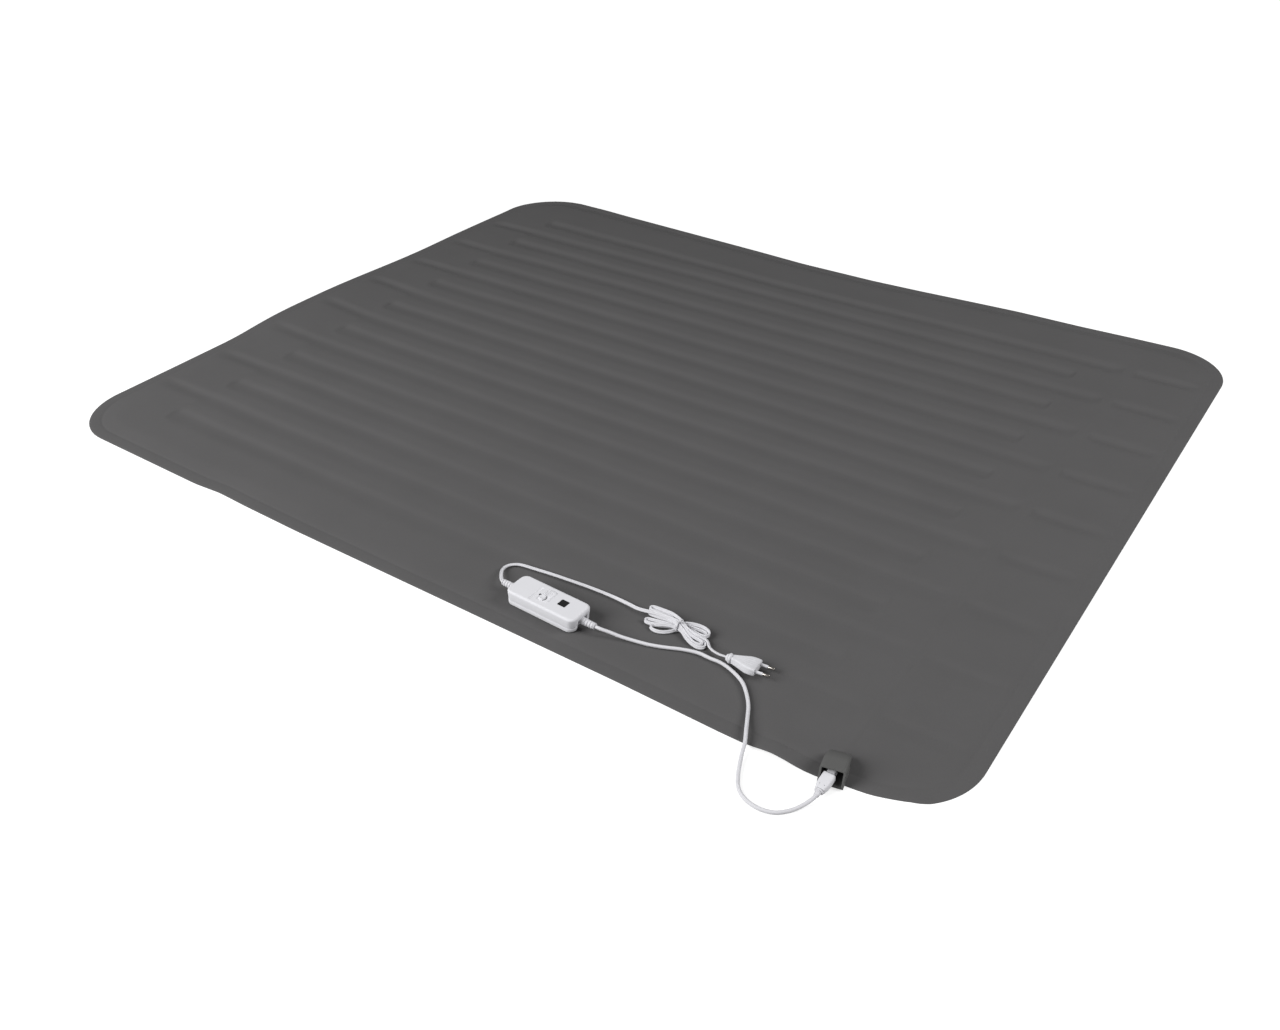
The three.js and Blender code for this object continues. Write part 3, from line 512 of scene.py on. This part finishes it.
def carve(mesh, *cutters):
    """Cuts other meshes out of a mesh."""
    data = bpy.data.meshes.new("carved")
    mesh.to_mesh(data)
    mesh.free()
    target = put_in("carved", data)
    tools = []
    for cutter in cutters:
        tool_data = bpy.data.meshes.new("cutter")
        cutter.to_mesh(tool_data)
        cutter.free()
        tool = put_in("cutter", tool_data)
        step = target.modifiers.new("cut", "BOOLEAN")
        step.operation = "DIFFERENCE"
        step.solver = "EXACT"
        step.object = tool
        tools.append(tool)
    seen = target.evaluated_get(bpy.context.evaluated_depsgraph_get())
    carved = bmesh.new()
    carved.from_mesh(seen.to_mesh())
    seen.to_mesh_clear()
    for thing in [target, *tools]:
        bpy.data.objects.remove(thing)
    return carved


SCOOP = dict(half=0.0075, half_up=0.0095, corner=0.0045)


def scoop(side):
    """The hollow round a cord at one end of the case, from below up into the top shell."""
    rings = []
    for z, middle in ((-0.01, 0.0575), (0.0, 0.0575), (0.0165, 0.063)):
        outline = rounded(SCOOP["half"], SCOOP["half_up"], SCOOP["corner"], 6, (side * middle, 0.0))
        rings.append([(x, y, z) for x, y in outline])
    return loft(rings)


lower_rings = [case_ring(z, inset) for z, inset in (
    (0.0, 0.0013), (0.0003, 0.0006), (0.0008, 0.0001), (0.0014, -0.0002), (0.002, -0.0003),
    (0.0068, -0.0003), (0.0074, 0.0001))]
lower = carve(loft(lower_rings), scoop(1), scoop(-1))
finish_piece(soften(lower, 0.0005, 2, 50.0), "case_lower", CASE_PLACE, shell_white, "pad",
             ["controller_lower"])

upper_rings = [case_ring(CASE_PARTING + 0.0003, 0.0005), case_ring(CASE_PARTING + 0.0007, 0.0)]
for i in range(9):
    angle = i / 8 * math.pi / 2
    upper_rings.append(case_ring(CASE_HEIGHT - CASE_EDGE + CASE_EDGE * math.sin(angle),
                                 CASE_EDGE * (1 - math.cos(angle))))


def circle(radius, count, middle=(0.0, 0.0)):
    turns = [2 * math.pi * i / count for i in range(count)]
    return [(middle[0] + radius * math.cos(turn), middle[1] + radius * math.sin(turn)) for turn in turns]


WINDOW = dict(x=0.02475, y=0.002, half=0.00625, half_up=0.006, corner=0.0012, deep=0.0012)
SLOT_MIDDLE = (-0.00475, -0.0015)
ABOVE = 0.03  # every cutter reaches up to here, clear of the case
slot = prism(rounded(0.0097, 0.0021, 0.002, 5, SLOT_MIDDLE), 0.0175, ABOVE)
dimple = prism(rounded(0.0005, 0.0005, 0.0004, 4, (-0.0112, -0.011)), 0.0222, ABOVE)
window_hole = prism(rounded(WINDOW["half"] + 0.0003, WINDOW["half_up"] + 0.0003, WINDOW["corner"], 4,
                            (WINDOW["x"], WINDOW["y"])), CASE_HEIGHT - WINDOW["deep"] - 0.0003, ABOVE)
thumb_groove = loft([[(x, y, z) for x, z in circle(0.004, 48, (-0.019, 0.02645))] for y in (-0.0166, 0.012)])
upper = carve(loft(upper_rings), slot, dimple, window_hole, thumb_groove, scoop(1), scoop(-1))
finish_piece(soften(upper, 0.0004, 2, 50.0), "case_upper", CASE_PLACE, shell_white, "pad",
             ["controller_upper"])

# This black is the lamp window's own colour, and it also serves as painted shade in the switch's slot and in
# the finger gap.
black_lens_and_painted_shade = moulded("black_lens_and_painted_shade", (0.004, 0.004, 0.005), 0.12, depth=0.00001, Coat_Weight=0.6,
                     Coat_Roughness=0.05)
lens = prism(rounded(WINDOW["half"], WINDOW["half_up"], WINDOW["corner"], 4, (WINDOW["x"], WINDOW["y"])),
             CASE_HEIGHT - WINDOW["deep"], CASE_HEIGHT)
finish_piece(soften(lens, 0.0002), "window", CASE_PLACE, black_lens_and_painted_shade, "pad", ["controller_window"])

# Painted shade: a black fill in the slot, up to just under the top, stands for the shadow inside the case.
slot_painted_shade = prism(rounded(0.0095, 0.0019, 0.0018, 5, SLOT_MIDDLE), 0.0176, 0.0223)
finish_piece(slot_painted_shade, "slot_painted_shade", CASE_PLACE, black_lens_and_painted_shade, "pad")

# The knob is a thin plate with a raised, dished pad for the finger, a gap round part of that with a thin
# black strip of painted shade in its floor, and a fan of ribs behind it.
KNOB = dict(x=-0.002, y=0.0015, half=0.0085, half_up=0.0125, corner=0.0035, low=0.02305)
THUMB_PAD = dict(x=-0.0033, y=-0.007, radius=0.005, rise=0.0016, dish=0.0005)
CLEFT_DEPTH = 0.00065
FAN_DEPTH = 0.00045
FAN_RIBS = 24  # as many as would go all the way round
knob_x, knob_y = np.meshgrid(np.linspace(-KNOB["half"], KNOB["half"], 41),
                             np.linspace(-KNOB["half_up"], KNOB["half_up"], 61))
from_edge = np.minimum(KNOB["half"] - np.abs(knob_x), KNOB["half_up"] - np.abs(knob_y))
knob_x, knob_y = round_off(knob_x, knob_y, KNOB["half"], KNOB["half_up"], KNOB["corner"])
from_pad = np.hypot(knob_x - THUMB_PAD["x"], knob_y - THUMB_PAD["y"])
fan_angle = np.arctan2(knob_y - THUMB_PAD["y"], knob_x - THUMB_PAD["x"])
fan = ramp(from_pad, 0.0062, 0.0085) * (1 - ramp(np.abs(fan_angle - 1.15), 0.85, 1.1))
fan *= ramp(from_edge, 0.001, 0.0025)
knob_top = 0.0231 + 0.0007 * ramp(from_edge, -0.0001, 0.0013)
knob_top += THUMB_PAD["rise"] * (1 - ramp(from_pad, THUMB_PAD["radius"] - 0.0006, THUMB_PAD["radius"]))
knob_top -= THUMB_PAD["dish"] * (1 - ramp(from_pad, 0.0, THUMB_PAD["radius"] - 0.0008))
cleft = ramp(from_pad, THUMB_PAD["radius"] - 0.0002, THUMB_PAD["radius"] + 0.0002)
cleft *= 1 - ramp(from_pad, 0.0062, 0.007)
cleft *= 1 - ramp(np.abs(fan_angle + 0.15), 0.95, 1.25)
knob_top -= CLEFT_DEPTH * cleft
knob_top += FAN_DEPTH * fan * np.cos(FAN_RIBS * fan_angle)
knob_points, knob_faces = slab(knob_x, knob_y, knob_top, np.full(knob_x.shape, KNOB["low"]))
knob_mesh = bpy.data.meshes.new("knob_net")
knob_mesh.from_pydata(knob_points, [], knob_faces)
knob = bmesh.new()
knob.from_mesh(knob_mesh)
bpy.data.meshes.remove(knob_mesh)
knob_place = CASE_PLACE @ Matrix.Translation((KNOB["x"], KNOB["y"], 0))
# Painted shade: a thin black crescent laid in the floor of the gap stands for the shadow in it.
cleft_line = []
for radius, order in ((0.0061, range(11)), (0.0051, range(10, -1, -1))):
    for i in order:
        angle = math.radians(-50 + 10.5 * i)
        cleft_line.append((THUMB_PAD["x"] + radius * math.cos(angle),
                           THUMB_PAD["y"] + radius * math.sin(angle)))
cleft_painted_shade = prism(cleft_line, 0.0232, 0.02335)
finish_piece(cleft_painted_shade, "finger_gap_painted_shade", knob_place, black_lens_and_painted_shade, "slider")
finish_piece(knob, "knob", knob_place, shell_white, "slider", ["switch_knob"])


def turned(profile, sides=24):
    """A turned piece along X from rows of distance and radius."""
    return loft([[(along, y, z) for y, z in circle(radius, sides)] for along, radius in profile])


RELIEF_ROOT = 0.0505
RELIEF_WIDE = 0.0056
RELIEF_NARROW = 0.0044
RELIEF_SLITS = 4
SLIT_PITCH = 0.0043
SLITS_REACH = 0.0175  # how far back from the end the slits begin


def relief_profile(end):
    """A blunt cone of soft plastic with slits all round it, from its root to its end."""
    profile = [(RELIEF_ROOT, RELIEF_WIDE)]
    for i in range(RELIEF_SLITS):
        at = end - SLITS_REACH + SLIT_PITCH * (i + 0.6)
        outer = RELIEF_WIDE + (RELIEF_NARROW - RELIEF_WIDE) * (at - RELIEF_ROOT) / (end - RELIEF_ROOT)
        profile += [(at - 0.0008, outer), (at - 0.0005, outer - 0.0002), (at - 0.0003, outer - 0.0011),
                    (at + 0.0003, outer - 0.0011), (at + 0.0005, outer - 0.0002), (at + 0.0008, outer)]
    return profile + [(end - 0.0008, RELIEF_NARROW), (end - 0.0002, RELIEF_NARROW - 0.0004),
                      (end, RELIEF_NARROW - 0.0011)]


for name, end, node, spin in (("relief_lead", 0.0792, "controller_relief_lead", 0.0),
                              ("relief_mains", 0.0812, "controller_relief_mains", math.pi)):
    place = CASE_PLACE @ Matrix.Translation((0, 0, CASE_PORT)) @ Matrix.Rotation(spin, 4, "Z")
    finish_piece(turned(relief_profile(end), 32), name, place, cord_white, "pad", [node],
                 flat_over=50.0)


# The lead: a round white cord from the controller to the socket. It swings out over the near edge
# of the pad and comes back to a small moulded connector, which is pushed into the socket's mouth.
LEAD_DIAMETER = 0.0048
LEAD_STEP = 0.003
LEAD_ROUTE = [  # mm, from the connector's end to the controller's
    (659.6, -680.8, 7.6), (659.4, -684.5, 7.1), (657.5, -691, 5.8), (653.5, -699.5, 4.1),
    (648, -709, 2.8), (641, -718, 2.6), (633, -725, 2.6), (621, -729.5, 2.6), (607, -730, 2.6),
    (593, -726, 2.6), (581, -717, 2.6), (572, -703, 2.6), (565, -688, 3.3), (559, -673, 5.3),
    (554, -658, 7.8), (545, -640, 7.8), (535, -620, 6.4), (525, -601, 5.9), (513, -585, 5.9),
    (499, -571, 5.9), (485, -563, 5.9), (469, -557, 5.9), (457, -554.6, 5.9), (442, -555.2, 5.9),
    (424, -555, 5.9), (403, -561, 5.9), (383, -569.7, 5.9), (363, -576.8, 5.9), (342, -581.8, 6.4),
    (325, -586.5, 8.4), (311, -590.4, 11.6), (300, -594, 14.1), (296, -594.7, 14.7),
    (292.4, -594.8, 14.8),
]


def smooth_path(points, step):
    """A smooth path through points, as places about a step apart."""
    points = np.array(points, float)
    knots = np.concatenate([[0], np.cumsum(np.linalg.norm(np.diff(points, axis=0), axis=1) ** 0.5)])
    ends = [2 * points[0] - points[1], 2 * points[-1] - points[-2]]
    padded = np.vstack([ends[0], points, ends[1]])
    times = np.concatenate([[2 * knots[0] - knots[1]], knots, [2 * knots[-1] - knots[-2]]])
    found = []
    for i in range(1, len(padded) - 2):
        t = np.linspace(times[i], times[i + 1], 24, endpoint=False)[:, None]
        t0, t1, t2, t3 = times[i - 1:i + 3]
        p0, p1, p2, p3 = padded[i - 1:i + 3]
        a1 = (t1 - t) / (t1 - t0) * p0 + (t - t0) / (t1 - t0) * p1
        a2 = (t2 - t) / (t2 - t1) * p1 + (t - t1) / (t2 - t1) * p2
        a3 = (t3 - t) / (t3 - t2) * p2 + (t - t2) / (t3 - t2) * p3
        b1 = (t2 - t) / (t2 - t0) * a1 + (t - t0) / (t2 - t0) * a2
        b2 = (t3 - t) / (t3 - t1) * a2 + (t - t1) / (t3 - t1) * a3
        found.append((t2 - t) / (t2 - t1) * b1 + (t - t1) / (t2 - t1) * b2)
    dense = np.vstack([*found, points[-1:]])
    run = np.concatenate([[0], np.cumsum(np.linalg.norm(np.diff(dense, axis=0), axis=1))])
    count = max(2, round(run[-1] / step))
    even = np.linspace(0, run[-1], count + 1)
    return np.stack([np.interp(even, run, dense[:, k]) for k in range(3)], axis=1)


def sweep(path, outline, side=(0, 0, 1)):
    """A tube along a path: the outline's first number runs towards the side, its second across it."""
    heading = np.gradient(path, axis=0)
    heading /= np.linalg.norm(heading, axis=1)[:, None]
    wide = np.broadcast_to(np.array(side, float), heading.shape)
    wide = wide - heading * np.sum(wide * heading, axis=1)[:, None]
    wide /= np.linalg.norm(wide, axis=1)[:, None]
    tall = np.cross(heading, wide)
    rings = []
    for centre, across, up in zip(path, wide, tall):
        rings.append([tuple(centre + across * x + up * y) for x, y in outline])
    return loft(rings)


def to_row(points):
    """Millimetres from the pad's middle to metres in the model's frame."""
    return [(x / 1000, y / 1000 + ALONG_Y, z / 1000) for x, y, z in points]


lead_path = smooth_path(to_row(LEAD_ROUTE[::-1]), LEAD_STEP)
lead = finish_piece(sweep(lead_path, circle(LEAD_DIAMETER / 2, 16)), "lead", Matrix(), cord_white,
                    "pad", ["lead_cord"])

PLUG_IN_PLACE = placed(0.66, -0.6565, 0.011, Z=-1, X=8)
CONNECTOR_SECTIONS = [  # along, half width, half height
    (0.012, 0.0056, 0.0034), (0.0052, 0.0056, 0.0034), (0.0051, 0.0066, 0.0043), (0.0043, 0.0075, 0.005),
    (-0.007, 0.0077, 0.005), (-0.0115, 0.0073, 0.0049), (-0.0148, 0.0066, 0.0047), (-0.0172, 0.0059, 0.0045),
    (-0.0182, 0.0055, 0.0043),
]
connector_mesh = loft([[(x, along, z) for x, z in rounded(half, tall, 0.0024, 6)]
                       for along, half, tall in CONNECTOR_SECTIONS])
connector_dots = [prism(rounded(0.0006, 0.0006, 0.0005, 4, (x, -0.0128)), 0.0038, 0.01)
                  for x in (-0.0031, 0.0031)]
connector_mesh = carve(connector_mesh, *connector_dots)
connector = finish_piece(soften(connector_mesh, 0.0004, 2, 50.0), "connector", PLUG_IN_PLACE, shell_white,
                         "pad", ["connector_body"])
TAIL_RINGS = [  # along, half width
    (-0.0181, 0.0036), (-0.0187, 0.0036), (-0.0188, 0.0052), (-0.0192, 0.0055), (-0.0201, 0.0055),
    (-0.0205, 0.0052), (-0.0206, 0.0036), (-0.0228, 0.0035), (-0.0229, 0.0031), (-0.0238, 0.0031),
    (-0.0239, 0.0034), (-0.0262, 0.0032), (-0.0263, 0.0029), (-0.0275, 0.0028),
]
tail_mesh = loft([[(x, along, z) for x, z in rounded(half, half * 0.92, half * 0.85, 6)]
                  for along, half in TAIL_RINGS])
connector_tail = finish_piece(tail_mesh, "connector_tail", PLUG_IN_PLACE, cord_white, "pad",
                              ["connector_relief"])


# The mains flex: flat white twin flex. From the controller it turns back over the pad to a hank of
# eight folds, four at each end, tied at its waist, and a short end goes on to the plug.
FLEX_WIDTH = 0.005
FLEX_HEIGHT = 0.0027
FLEX_STEP = 0.0016
TO_HANK = [  # mm, as in all the flex's rows
    (141, -589.5, 14.8), (136, -589.5, 14.8), (132, -589.2, 14.8), (128.6, -588, 14.6),
    (125.2, -585.2, 13.9), (120, -580, 12.7), (113.5, -572.5, 10.6), (107.5, -564.5, 8.2),
    (104.3, -557, 6.4), (104, -550, 5.6), (107.5, -543.5, 5.2), (114, -538.2, 5.1),
    (122, -535.6, 5), (132, -534, 5), (145, -532.2, 5),
    (161, -530, 5), (177, -528, 5), (193, -526.6, 5), (209, -525, 5), (226, -523.6, 5),
    (244, -522.6, 5), (260, -522.2, 5), (277, -522.4, 5), (295, -523.6, 5.3), (310, -525.6, 6.4),
    (325, -525.4, 8.6), (340, -523.6, 10), (358, -523.6, 10.8),
]
WAIST_X = 376.5
WAIST_LANES = [  # y and z of each pass through the tie, in the order in which the flex makes them
    (-523.6, 9.4), (-528.0, 5.4), (-532.0, 5.4), (-524.0, 5.6), (-531.8, 9.0), (-527.8, 9.2), (-529.2, 12.8),
    (-525.2, 12.6), (-521.0, 12.9),
]
FOLDS = [  # out from the waist, round the tip and back, at the right end and the left end in turn
    [(383, -519.5, 10.5), (396, -514.5, 10.5), (408, -513.2, 9.5), (415.5, -515.5, 8.8), (419, -520.5, 8.5),
     (417.3, -525.3, 8.5), (410, -527.8, 9), (398, -527, 9.5)],
    [(362, -533, 5.5), (351, -538.2, 5.2), (345.8, -540.6, 5.2), (343.3, -543.6, 5.2), (344.8, -546.6, 5.2),
     (349.5, -548.6, 5.2), (356, -548.8, 5.2), (364.5, -545.5, 5.2), (372, -538.5, 5.4)],
    [(385, -529, 5.6), (398, -525.7, 6), (408, -525.4, 5.8), (413.6, -524.8, 5.8), (416.2, -522.2, 6.1),
     (414.2, -519.2, 6.7), (408, -518.1, 7.4), (396, -519.3, 8), (385, -521, 7.5)],
    [(362, -530.8, 8), (346, -533.6, 7.5), (337, -535.1, 6.8), (332.4, -536, 6.5), (330.6, -538.4, 6.2),
     (332.6, -540.8, 5.8), (337.5, -541.3, 5.7), (348, -539.4, 6.5), (362, -534.5, 8.5)],
    [(386, -534, 8), (396, -540, 6.5), (408, -544.6, 5.5), (417, -546, 5.2), (423, -543.3, 5.2),
     (424.3, -538.2, 5.4), (420.6, -534.4, 5.9), (414, -533.2, 6.4), (404, -533.4, 7)],
    [(360, -525.2, 8.5), (344, -525, 6.5), (331.5, -524.6, 5.4), (327, -523.3, 5.4), (325.1, -520.7, 5.6),
     (327, -518.1, 6.1), (331.5, -517.2, 6.8), (343, -517.3, 8), (358, -519, 10)],
    [(387, -532.8, 10.5), (397, -537.5, 8), (408, -541.7, 6.6), (414.5, -542, 6.5), (418.8, -540.6, 6.6),
     (420, -537.8, 6.9), (417, -535.7, 7.4), (411, -535.3, 8), (398, -534.3, 10)],
    [(358, -523, 11.5), (341, -521.5, 10), (330, -520.9, 9), (326, -519.6, 9), (324.1, -516.9, 9),
     (326.2, -514.3, 9.2), (331, -513.6, 9.6), (345, -513.9, 11), (360, -515.6, 12.8)],
]
TO_PLUG = [
    (392, -529.6, 12), (408, -531, 10.2), (419, -530, 8.4), (424, -531.3, 7.2), (427, -535, 6.6),
    (430.5, -538.2, 6.4), (436, -540.9, 6.4), (443, -543.2, 7.2), (450, -545.4, 9),
    (456.5, -546.8, 11), (461.4, -547, 11.8), (466, -546.5, 11.9),
]


def twin_outline(width, height, count):
    """The outline of twin flex: two round cores side by side, with a shallow valley between them."""
    radius = height / 2
    apart = width / 2 - radius
    outline = []
    for i in range(count):
        angle = 2 * math.pi * i / count
        reach = apart * abs(math.cos(angle)) + math.sqrt(radius ** 2 - (apart * math.sin(angle)) ** 2)
        outline.append((reach * math.cos(angle), reach * math.sin(angle)))
    return outline


mains_points = list(TO_HANK)
for lane, fold in zip(WAIST_LANES, FOLDS):
    mains_points += [(WAIST_X, *lane), *fold]
mains_points += [(WAIST_X, *WAIST_LANES[-1]), *TO_PLUG]
mains_path = smooth_path(to_row(mains_points), FLEX_STEP)
for _ in range(3):  # each pass rounds the tips of the folds a little more
    mains_path[1:-1] = (mains_path[:-2] + 2 * mains_path[1:-1] + mains_path[2:]) / 4

# The flex lies flat as far as the hank, stands on edge in its folds, and leans over again after it.
ON_EDGE = np.array((0, -0.5, -0.87))
LEANING = np.array((0, -0.82, 0.57))
INTO_HANK = (0.17, 0.23)  # shares of the flex's length over which it turns
OUT_OF_HANK = (0.93, 0.965)
heading = np.gradient(mains_path, axis=0)
level = np.stack([heading[:, 1], -heading[:, 0], np.zeros(len(heading))], axis=1)
level /= np.linalg.norm(level, axis=1)[:, None]
share = np.linspace(0, 1, len(mains_path))
into_hank = ramp(share, *INTO_HANK)[:, None]
out_of_hank = ramp(share, *OUT_OF_HANK)[:, None]
flex_side = (1 - into_hank) * level + into_hank * ((1 - out_of_hank) * ON_EDGE + out_of_hank * LEANING)
mains_mesh = sweep(mains_path, twin_outline(FLEX_WIDTH, FLEX_HEIGHT, 14), flex_side)
mains = finish_piece(mains_mesh, "mains_flex", Matrix(), cord_white, "pad",
                     ["mains_cord_a", "mains_hank", "mains_cord_b"])

TIE_PLACE = placed(WAIST_X / 1000, -0.5266, 0.0096)
TWIST_PLACE = placed(WAIST_X / 1000, -0.5279, 0.0163, Y=-25)
TWIST_LENGTH = 0.008
TWIST_RADIUS = 0.0005
WIRE_RADIUS = 0.00045
band_rings = []
for x, grow in ((-0.0015, 0.0003), (-0.0015, 0.0009), (-0.001, 0.0011), (0.001, 0.0011), (0.0015, 0.0009),
                (0.0015, 0.0003), (-0.0015, 0.0003)):
    band_rings.append([(x, y, z) for y, z in rounded(0.0074 + grow, 0.0058 + grow, 0.003 + grow, 5)])
band = loft(band_rings, close=False)
bmesh.ops.remove_doubles(band, verts=band.verts, dist=1e-6)
tie = finish_piece(band, "tie", TIE_PLACE, cord_white, "pad", ["hank_tie"])
for number in (0, 1):
    strand = []
    for i in range(25):
        reach = TWIST_LENGTH * i / 24
        angle = 4 * math.pi * i / 24 + number * math.pi
        strand.append((reach, TWIST_RADIUS * math.cos(angle), TWIST_RADIUS * math.sin(angle)))
    strand_mesh = sweep(np.array(strand), circle(WIRE_RADIUS, 8))
    finish_piece(strand_mesh, "tie_end_%d" % (number + 1), TWIST_PLACE, cord_white,
                                 "pad")


# The mains plug: a flat two-pin plug moulded onto the flex, ribbed lengthwise for the fingers. Its
# bright pins are sleeved in plastic at their roots and lean in a little towards their tips.
PLUG_PLACE = placed(0.5039, -0.5422, 0.0111, Z=7, Y=1, X=-9)
PLUG_SECTIONS = [  # mm: back from the face, half width, half height, half of the flat top, edge height
    (0.0, 13.7, 4.5, 11.3, 1.6), (0.4, 14.1, 4.9, 11.5, 1.8), (8, 14.3, 5.5, 11.2, 1.9),
    (12, 13.6, 5.6, 10.6, 1.9), (16, 12.2, 5.6, 9.4, 1.9), (20, 10.5, 5.45, 7.9, 1.9),
    (24, 8.8, 5.2, 6.5, 1.9), (29, 6.8, 4.9, 4.9, 1.9), (33, 5.4, 4.6, 3.9, 1.9), (35, 5.1, 4.4, 3.6, 1.9),
]
RIB_COUNT = 5
RIB_RISE = 0.28
RIBS_FROM = (3.0, 7.0)  # mm behind the face, where the ribs rise
RIBS_TO = (26.0, 33.0)  # and where they run out


def plug_ring(back, half, tall, flat, edge):
    """One section of the plug: ribs across its flat top and underside, and full round sides."""
    top = []
    for i in range(7):
        angle = i / 6 * math.pi / 2
        top.append((flat + (half - flat) * math.cos(angle) ** 0.7,
                    edge + (tall - edge) * math.sin(angle) ** 0.7))
    ribs = ramp(np.array(back), *RIBS_FROM) * (1 - ramp(np.array(back), *RIBS_TO))
    for i in range(1, 41):
        place = flat * (1 - 2 * i / 41)
        rise = RIB_RISE * ribs * (0.5 - 0.5 * math.cos(2 * math.pi * RIB_COUNT * i / 41))
        top.append((place, tall - RIB_RISE * 0.5 * ribs + rise))
    top += [(-y, z) for y, z in top[:7][::-1]]
    ring = top + [(-y, -z) for y, z in top]
    return [(-back / 1000, y / 1000, z / 1000) for y, z in ring]


plug_mesh = loft([plug_ring(*section) for section in PLUG_SECTIONS])
plug_body = finish_piece(plug_mesh, "plug", PLUG_PLACE, shell_white, "pad", ["plug_body"],
                         flat_over=50.0)
collar_mesh = turned([
    (-0.0432, 0.003), (-0.043, 0.0038), (-0.0424, 0.0043), (-0.0399, 0.0056), (-0.0396, 0.0052),
    (-0.0393, 0.0058), (-0.0388, 0.0066), (-0.0382, 0.0069), (-0.037, 0.0069), (-0.0361, 0.0064),
    (-0.0353, 0.0054),
], 32)
plug_collar = finish_piece(collar_mesh, "plug_neck", PLUG_PLACE, shell_white, "pad", ["plug_collar"])

pin_metal, add, feed = shader("pin_nickel", (0.42, 0.395, 0.365), 0.22, Metallic=1.0)
where = add("ShaderNodeTexCoord").outputs["Object"]
stretched = add("ShaderNodeMapping", {"Vector": where}, {"Scale": (60.0, 900.0, 900.0)})
drawn = add("ShaderNodeTexNoise", {"Vector": stretched.outputs[0]}, {"Scale": 1.0, "Detail": 2.0})
worn = add("ShaderNodeMath", {0: drawn.outputs["Fac"]}, {1: 0.25, 2: 0.18}, operation="MULTIPLY_ADD")
feed("Roughness", worn.outputs[0])
scratches = add("ShaderNodeBump", {"Height": drawn.outputs["Fac"]}, {"Strength": 0.2, "Distance": 0.00003})
feed("Normal", scratches.outputs["Normal"])
PIN_ROOT = 0.0093
PIN_LEAN = math.atan2(0.00055, 0.019)
PIN_SWING = math.radians(0.5)
for name, side in (("far", 1), ("near", -1)):
    place = PLUG_PLACE @ Matrix.Translation((0, side * PIN_ROOT, 0))
    place = place @ Matrix.Rotation(PIN_SWING - side * PIN_LEAN, 4, "Z")
    sleeve = turned([(0.0003, 0.002), (0.0097, 0.002), (0.01, 0.0019)])
    finish_piece(sleeve, "pin_sleeve_" + name, place, shell_white, "pad",
                                   ["plug_sleeve_" + name])
    pin = turned([(0.0103, 0.0019), (0.0105, 0.002), (0.0178, 0.002), (0.0185, 0.0018), (0.0189, 0.0014),
                  (0.019, 0.0009)])
    finish_piece(pin, "pin_" + name, place, pin_metal, "pad", ["plug_pin_" + name])


# The studio: a white floor that keeps a faint shadow, a broad soft lamp over the near left, a weaker
# one over the right, and a dim even surround that looks white from the camera.
FLOOR_REACH = 12
FLOOR_GLOW = dict(near=0.9, far=2.4, dim=0.66, full=1.0)
SURROUND = 0.2
floor_mesh = bpy.data.meshes.new("floor")
floor_corners = [(x * FLOOR_REACH, y * FLOOR_REACH, 0) for x, y in ((-1, -1), (1, -1), (1, 1), (-1, 1))]
floor_mesh.from_pydata(floor_corners, [], [(0, 1, 2, 3)])
floor = put_in("floor", floor_mesh)
floor_white, add, feed = shader("floor_white", (0.5, 0.5, 0.5), 0.9, Specular_IOR_Level=0.0)
rays = add("ShaderNodeLightPath")
seen = add("ShaderNodeMath", {0: rays.outputs["Is Camera Ray"], 1: rays.outputs["Is Glossy Ray"]},
           operation="MAXIMUM")
seen = add("ShaderNodeMath", {0: seen.outputs[0], 1: rays.outputs["Is Transmission Ray"]},
           operation="MAXIMUM")
spot = add("ShaderNodeTexCoord").outputs["Object"]
away = add("ShaderNodeVectorMath", {0: spot}, operation="LENGTH")
bright = add("ShaderNodeMapRange", {"Value": away.outputs["Value"]},
             {"From Min": FLOOR_GLOW["near"], "From Max": FLOOR_GLOW["far"], "To Min": FLOOR_GLOW["dim"],
              "To Max": FLOOR_GLOW["full"]}, interpolation_type="SMOOTHSTEP")
glow = add("ShaderNodeMath", {0: seen.outputs[0], 1: bright.outputs[0]}, operation="MULTIPLY")
floor_shader = floor_white.node_tree.nodes["Principled BSDF"]
floor_shader.inputs["Emission Color"].default_value = (1, 1, 1, 1)
feed("Emission Strength", glow.outputs[0])
floor_mesh.materials.append(floor_white)

world = bpy.data.worlds.new("surround")
bpy.context.scene.world = world
world.use_nodes = True
sky = world.node_tree.nodes["Background"]
sky.inputs["Color"].default_value = (1, 1, 1, 1)
rays = world.node_tree.nodes.new("ShaderNodeLightPath")
either = world.node_tree.nodes.new("ShaderNodeMath")
either.operation = "MAXIMUM"
world.node_tree.links.new(rays.outputs["Is Camera Ray"], either.inputs[0])
world.node_tree.links.new(rays.outputs["Is Transmission Ray"], either.inputs[1])
lit = world.node_tree.nodes.new("ShaderNodeMapRange")
lit.inputs["To Min"].default_value = SURROUND
lit.inputs["To Max"].default_value = 1.0
world.node_tree.links.new(either.outputs[0], lit.inputs["Value"])
world.node_tree.links.new(lit.outputs["Result"], sky.inputs["Strength"])

for name, place, aim, size, power in (
    ("key", (-1.49, -2.84, 2.0), (-0.1, -0.1, 0.0), 2.2, 142.0),
    ("fill", (2.7, 0.46, 1.88), (0.3, -0.2, 0.0), 1.4, 56.0),
):
    lamp_data = bpy.data.lights.new(name, "AREA")
    lamp_data.shape = "SQUARE"
    lamp_data.size = size
    lamp_data.energy = power
    lamp = put_in(name, lamp_data)
    lamp.location = place
    lamp.rotation_euler = (Vector(aim) - lamp.location).to_track_quat("-Z", "Y").to_euler()

bpy.context.scene.view_settings.view_transform = "Standard"
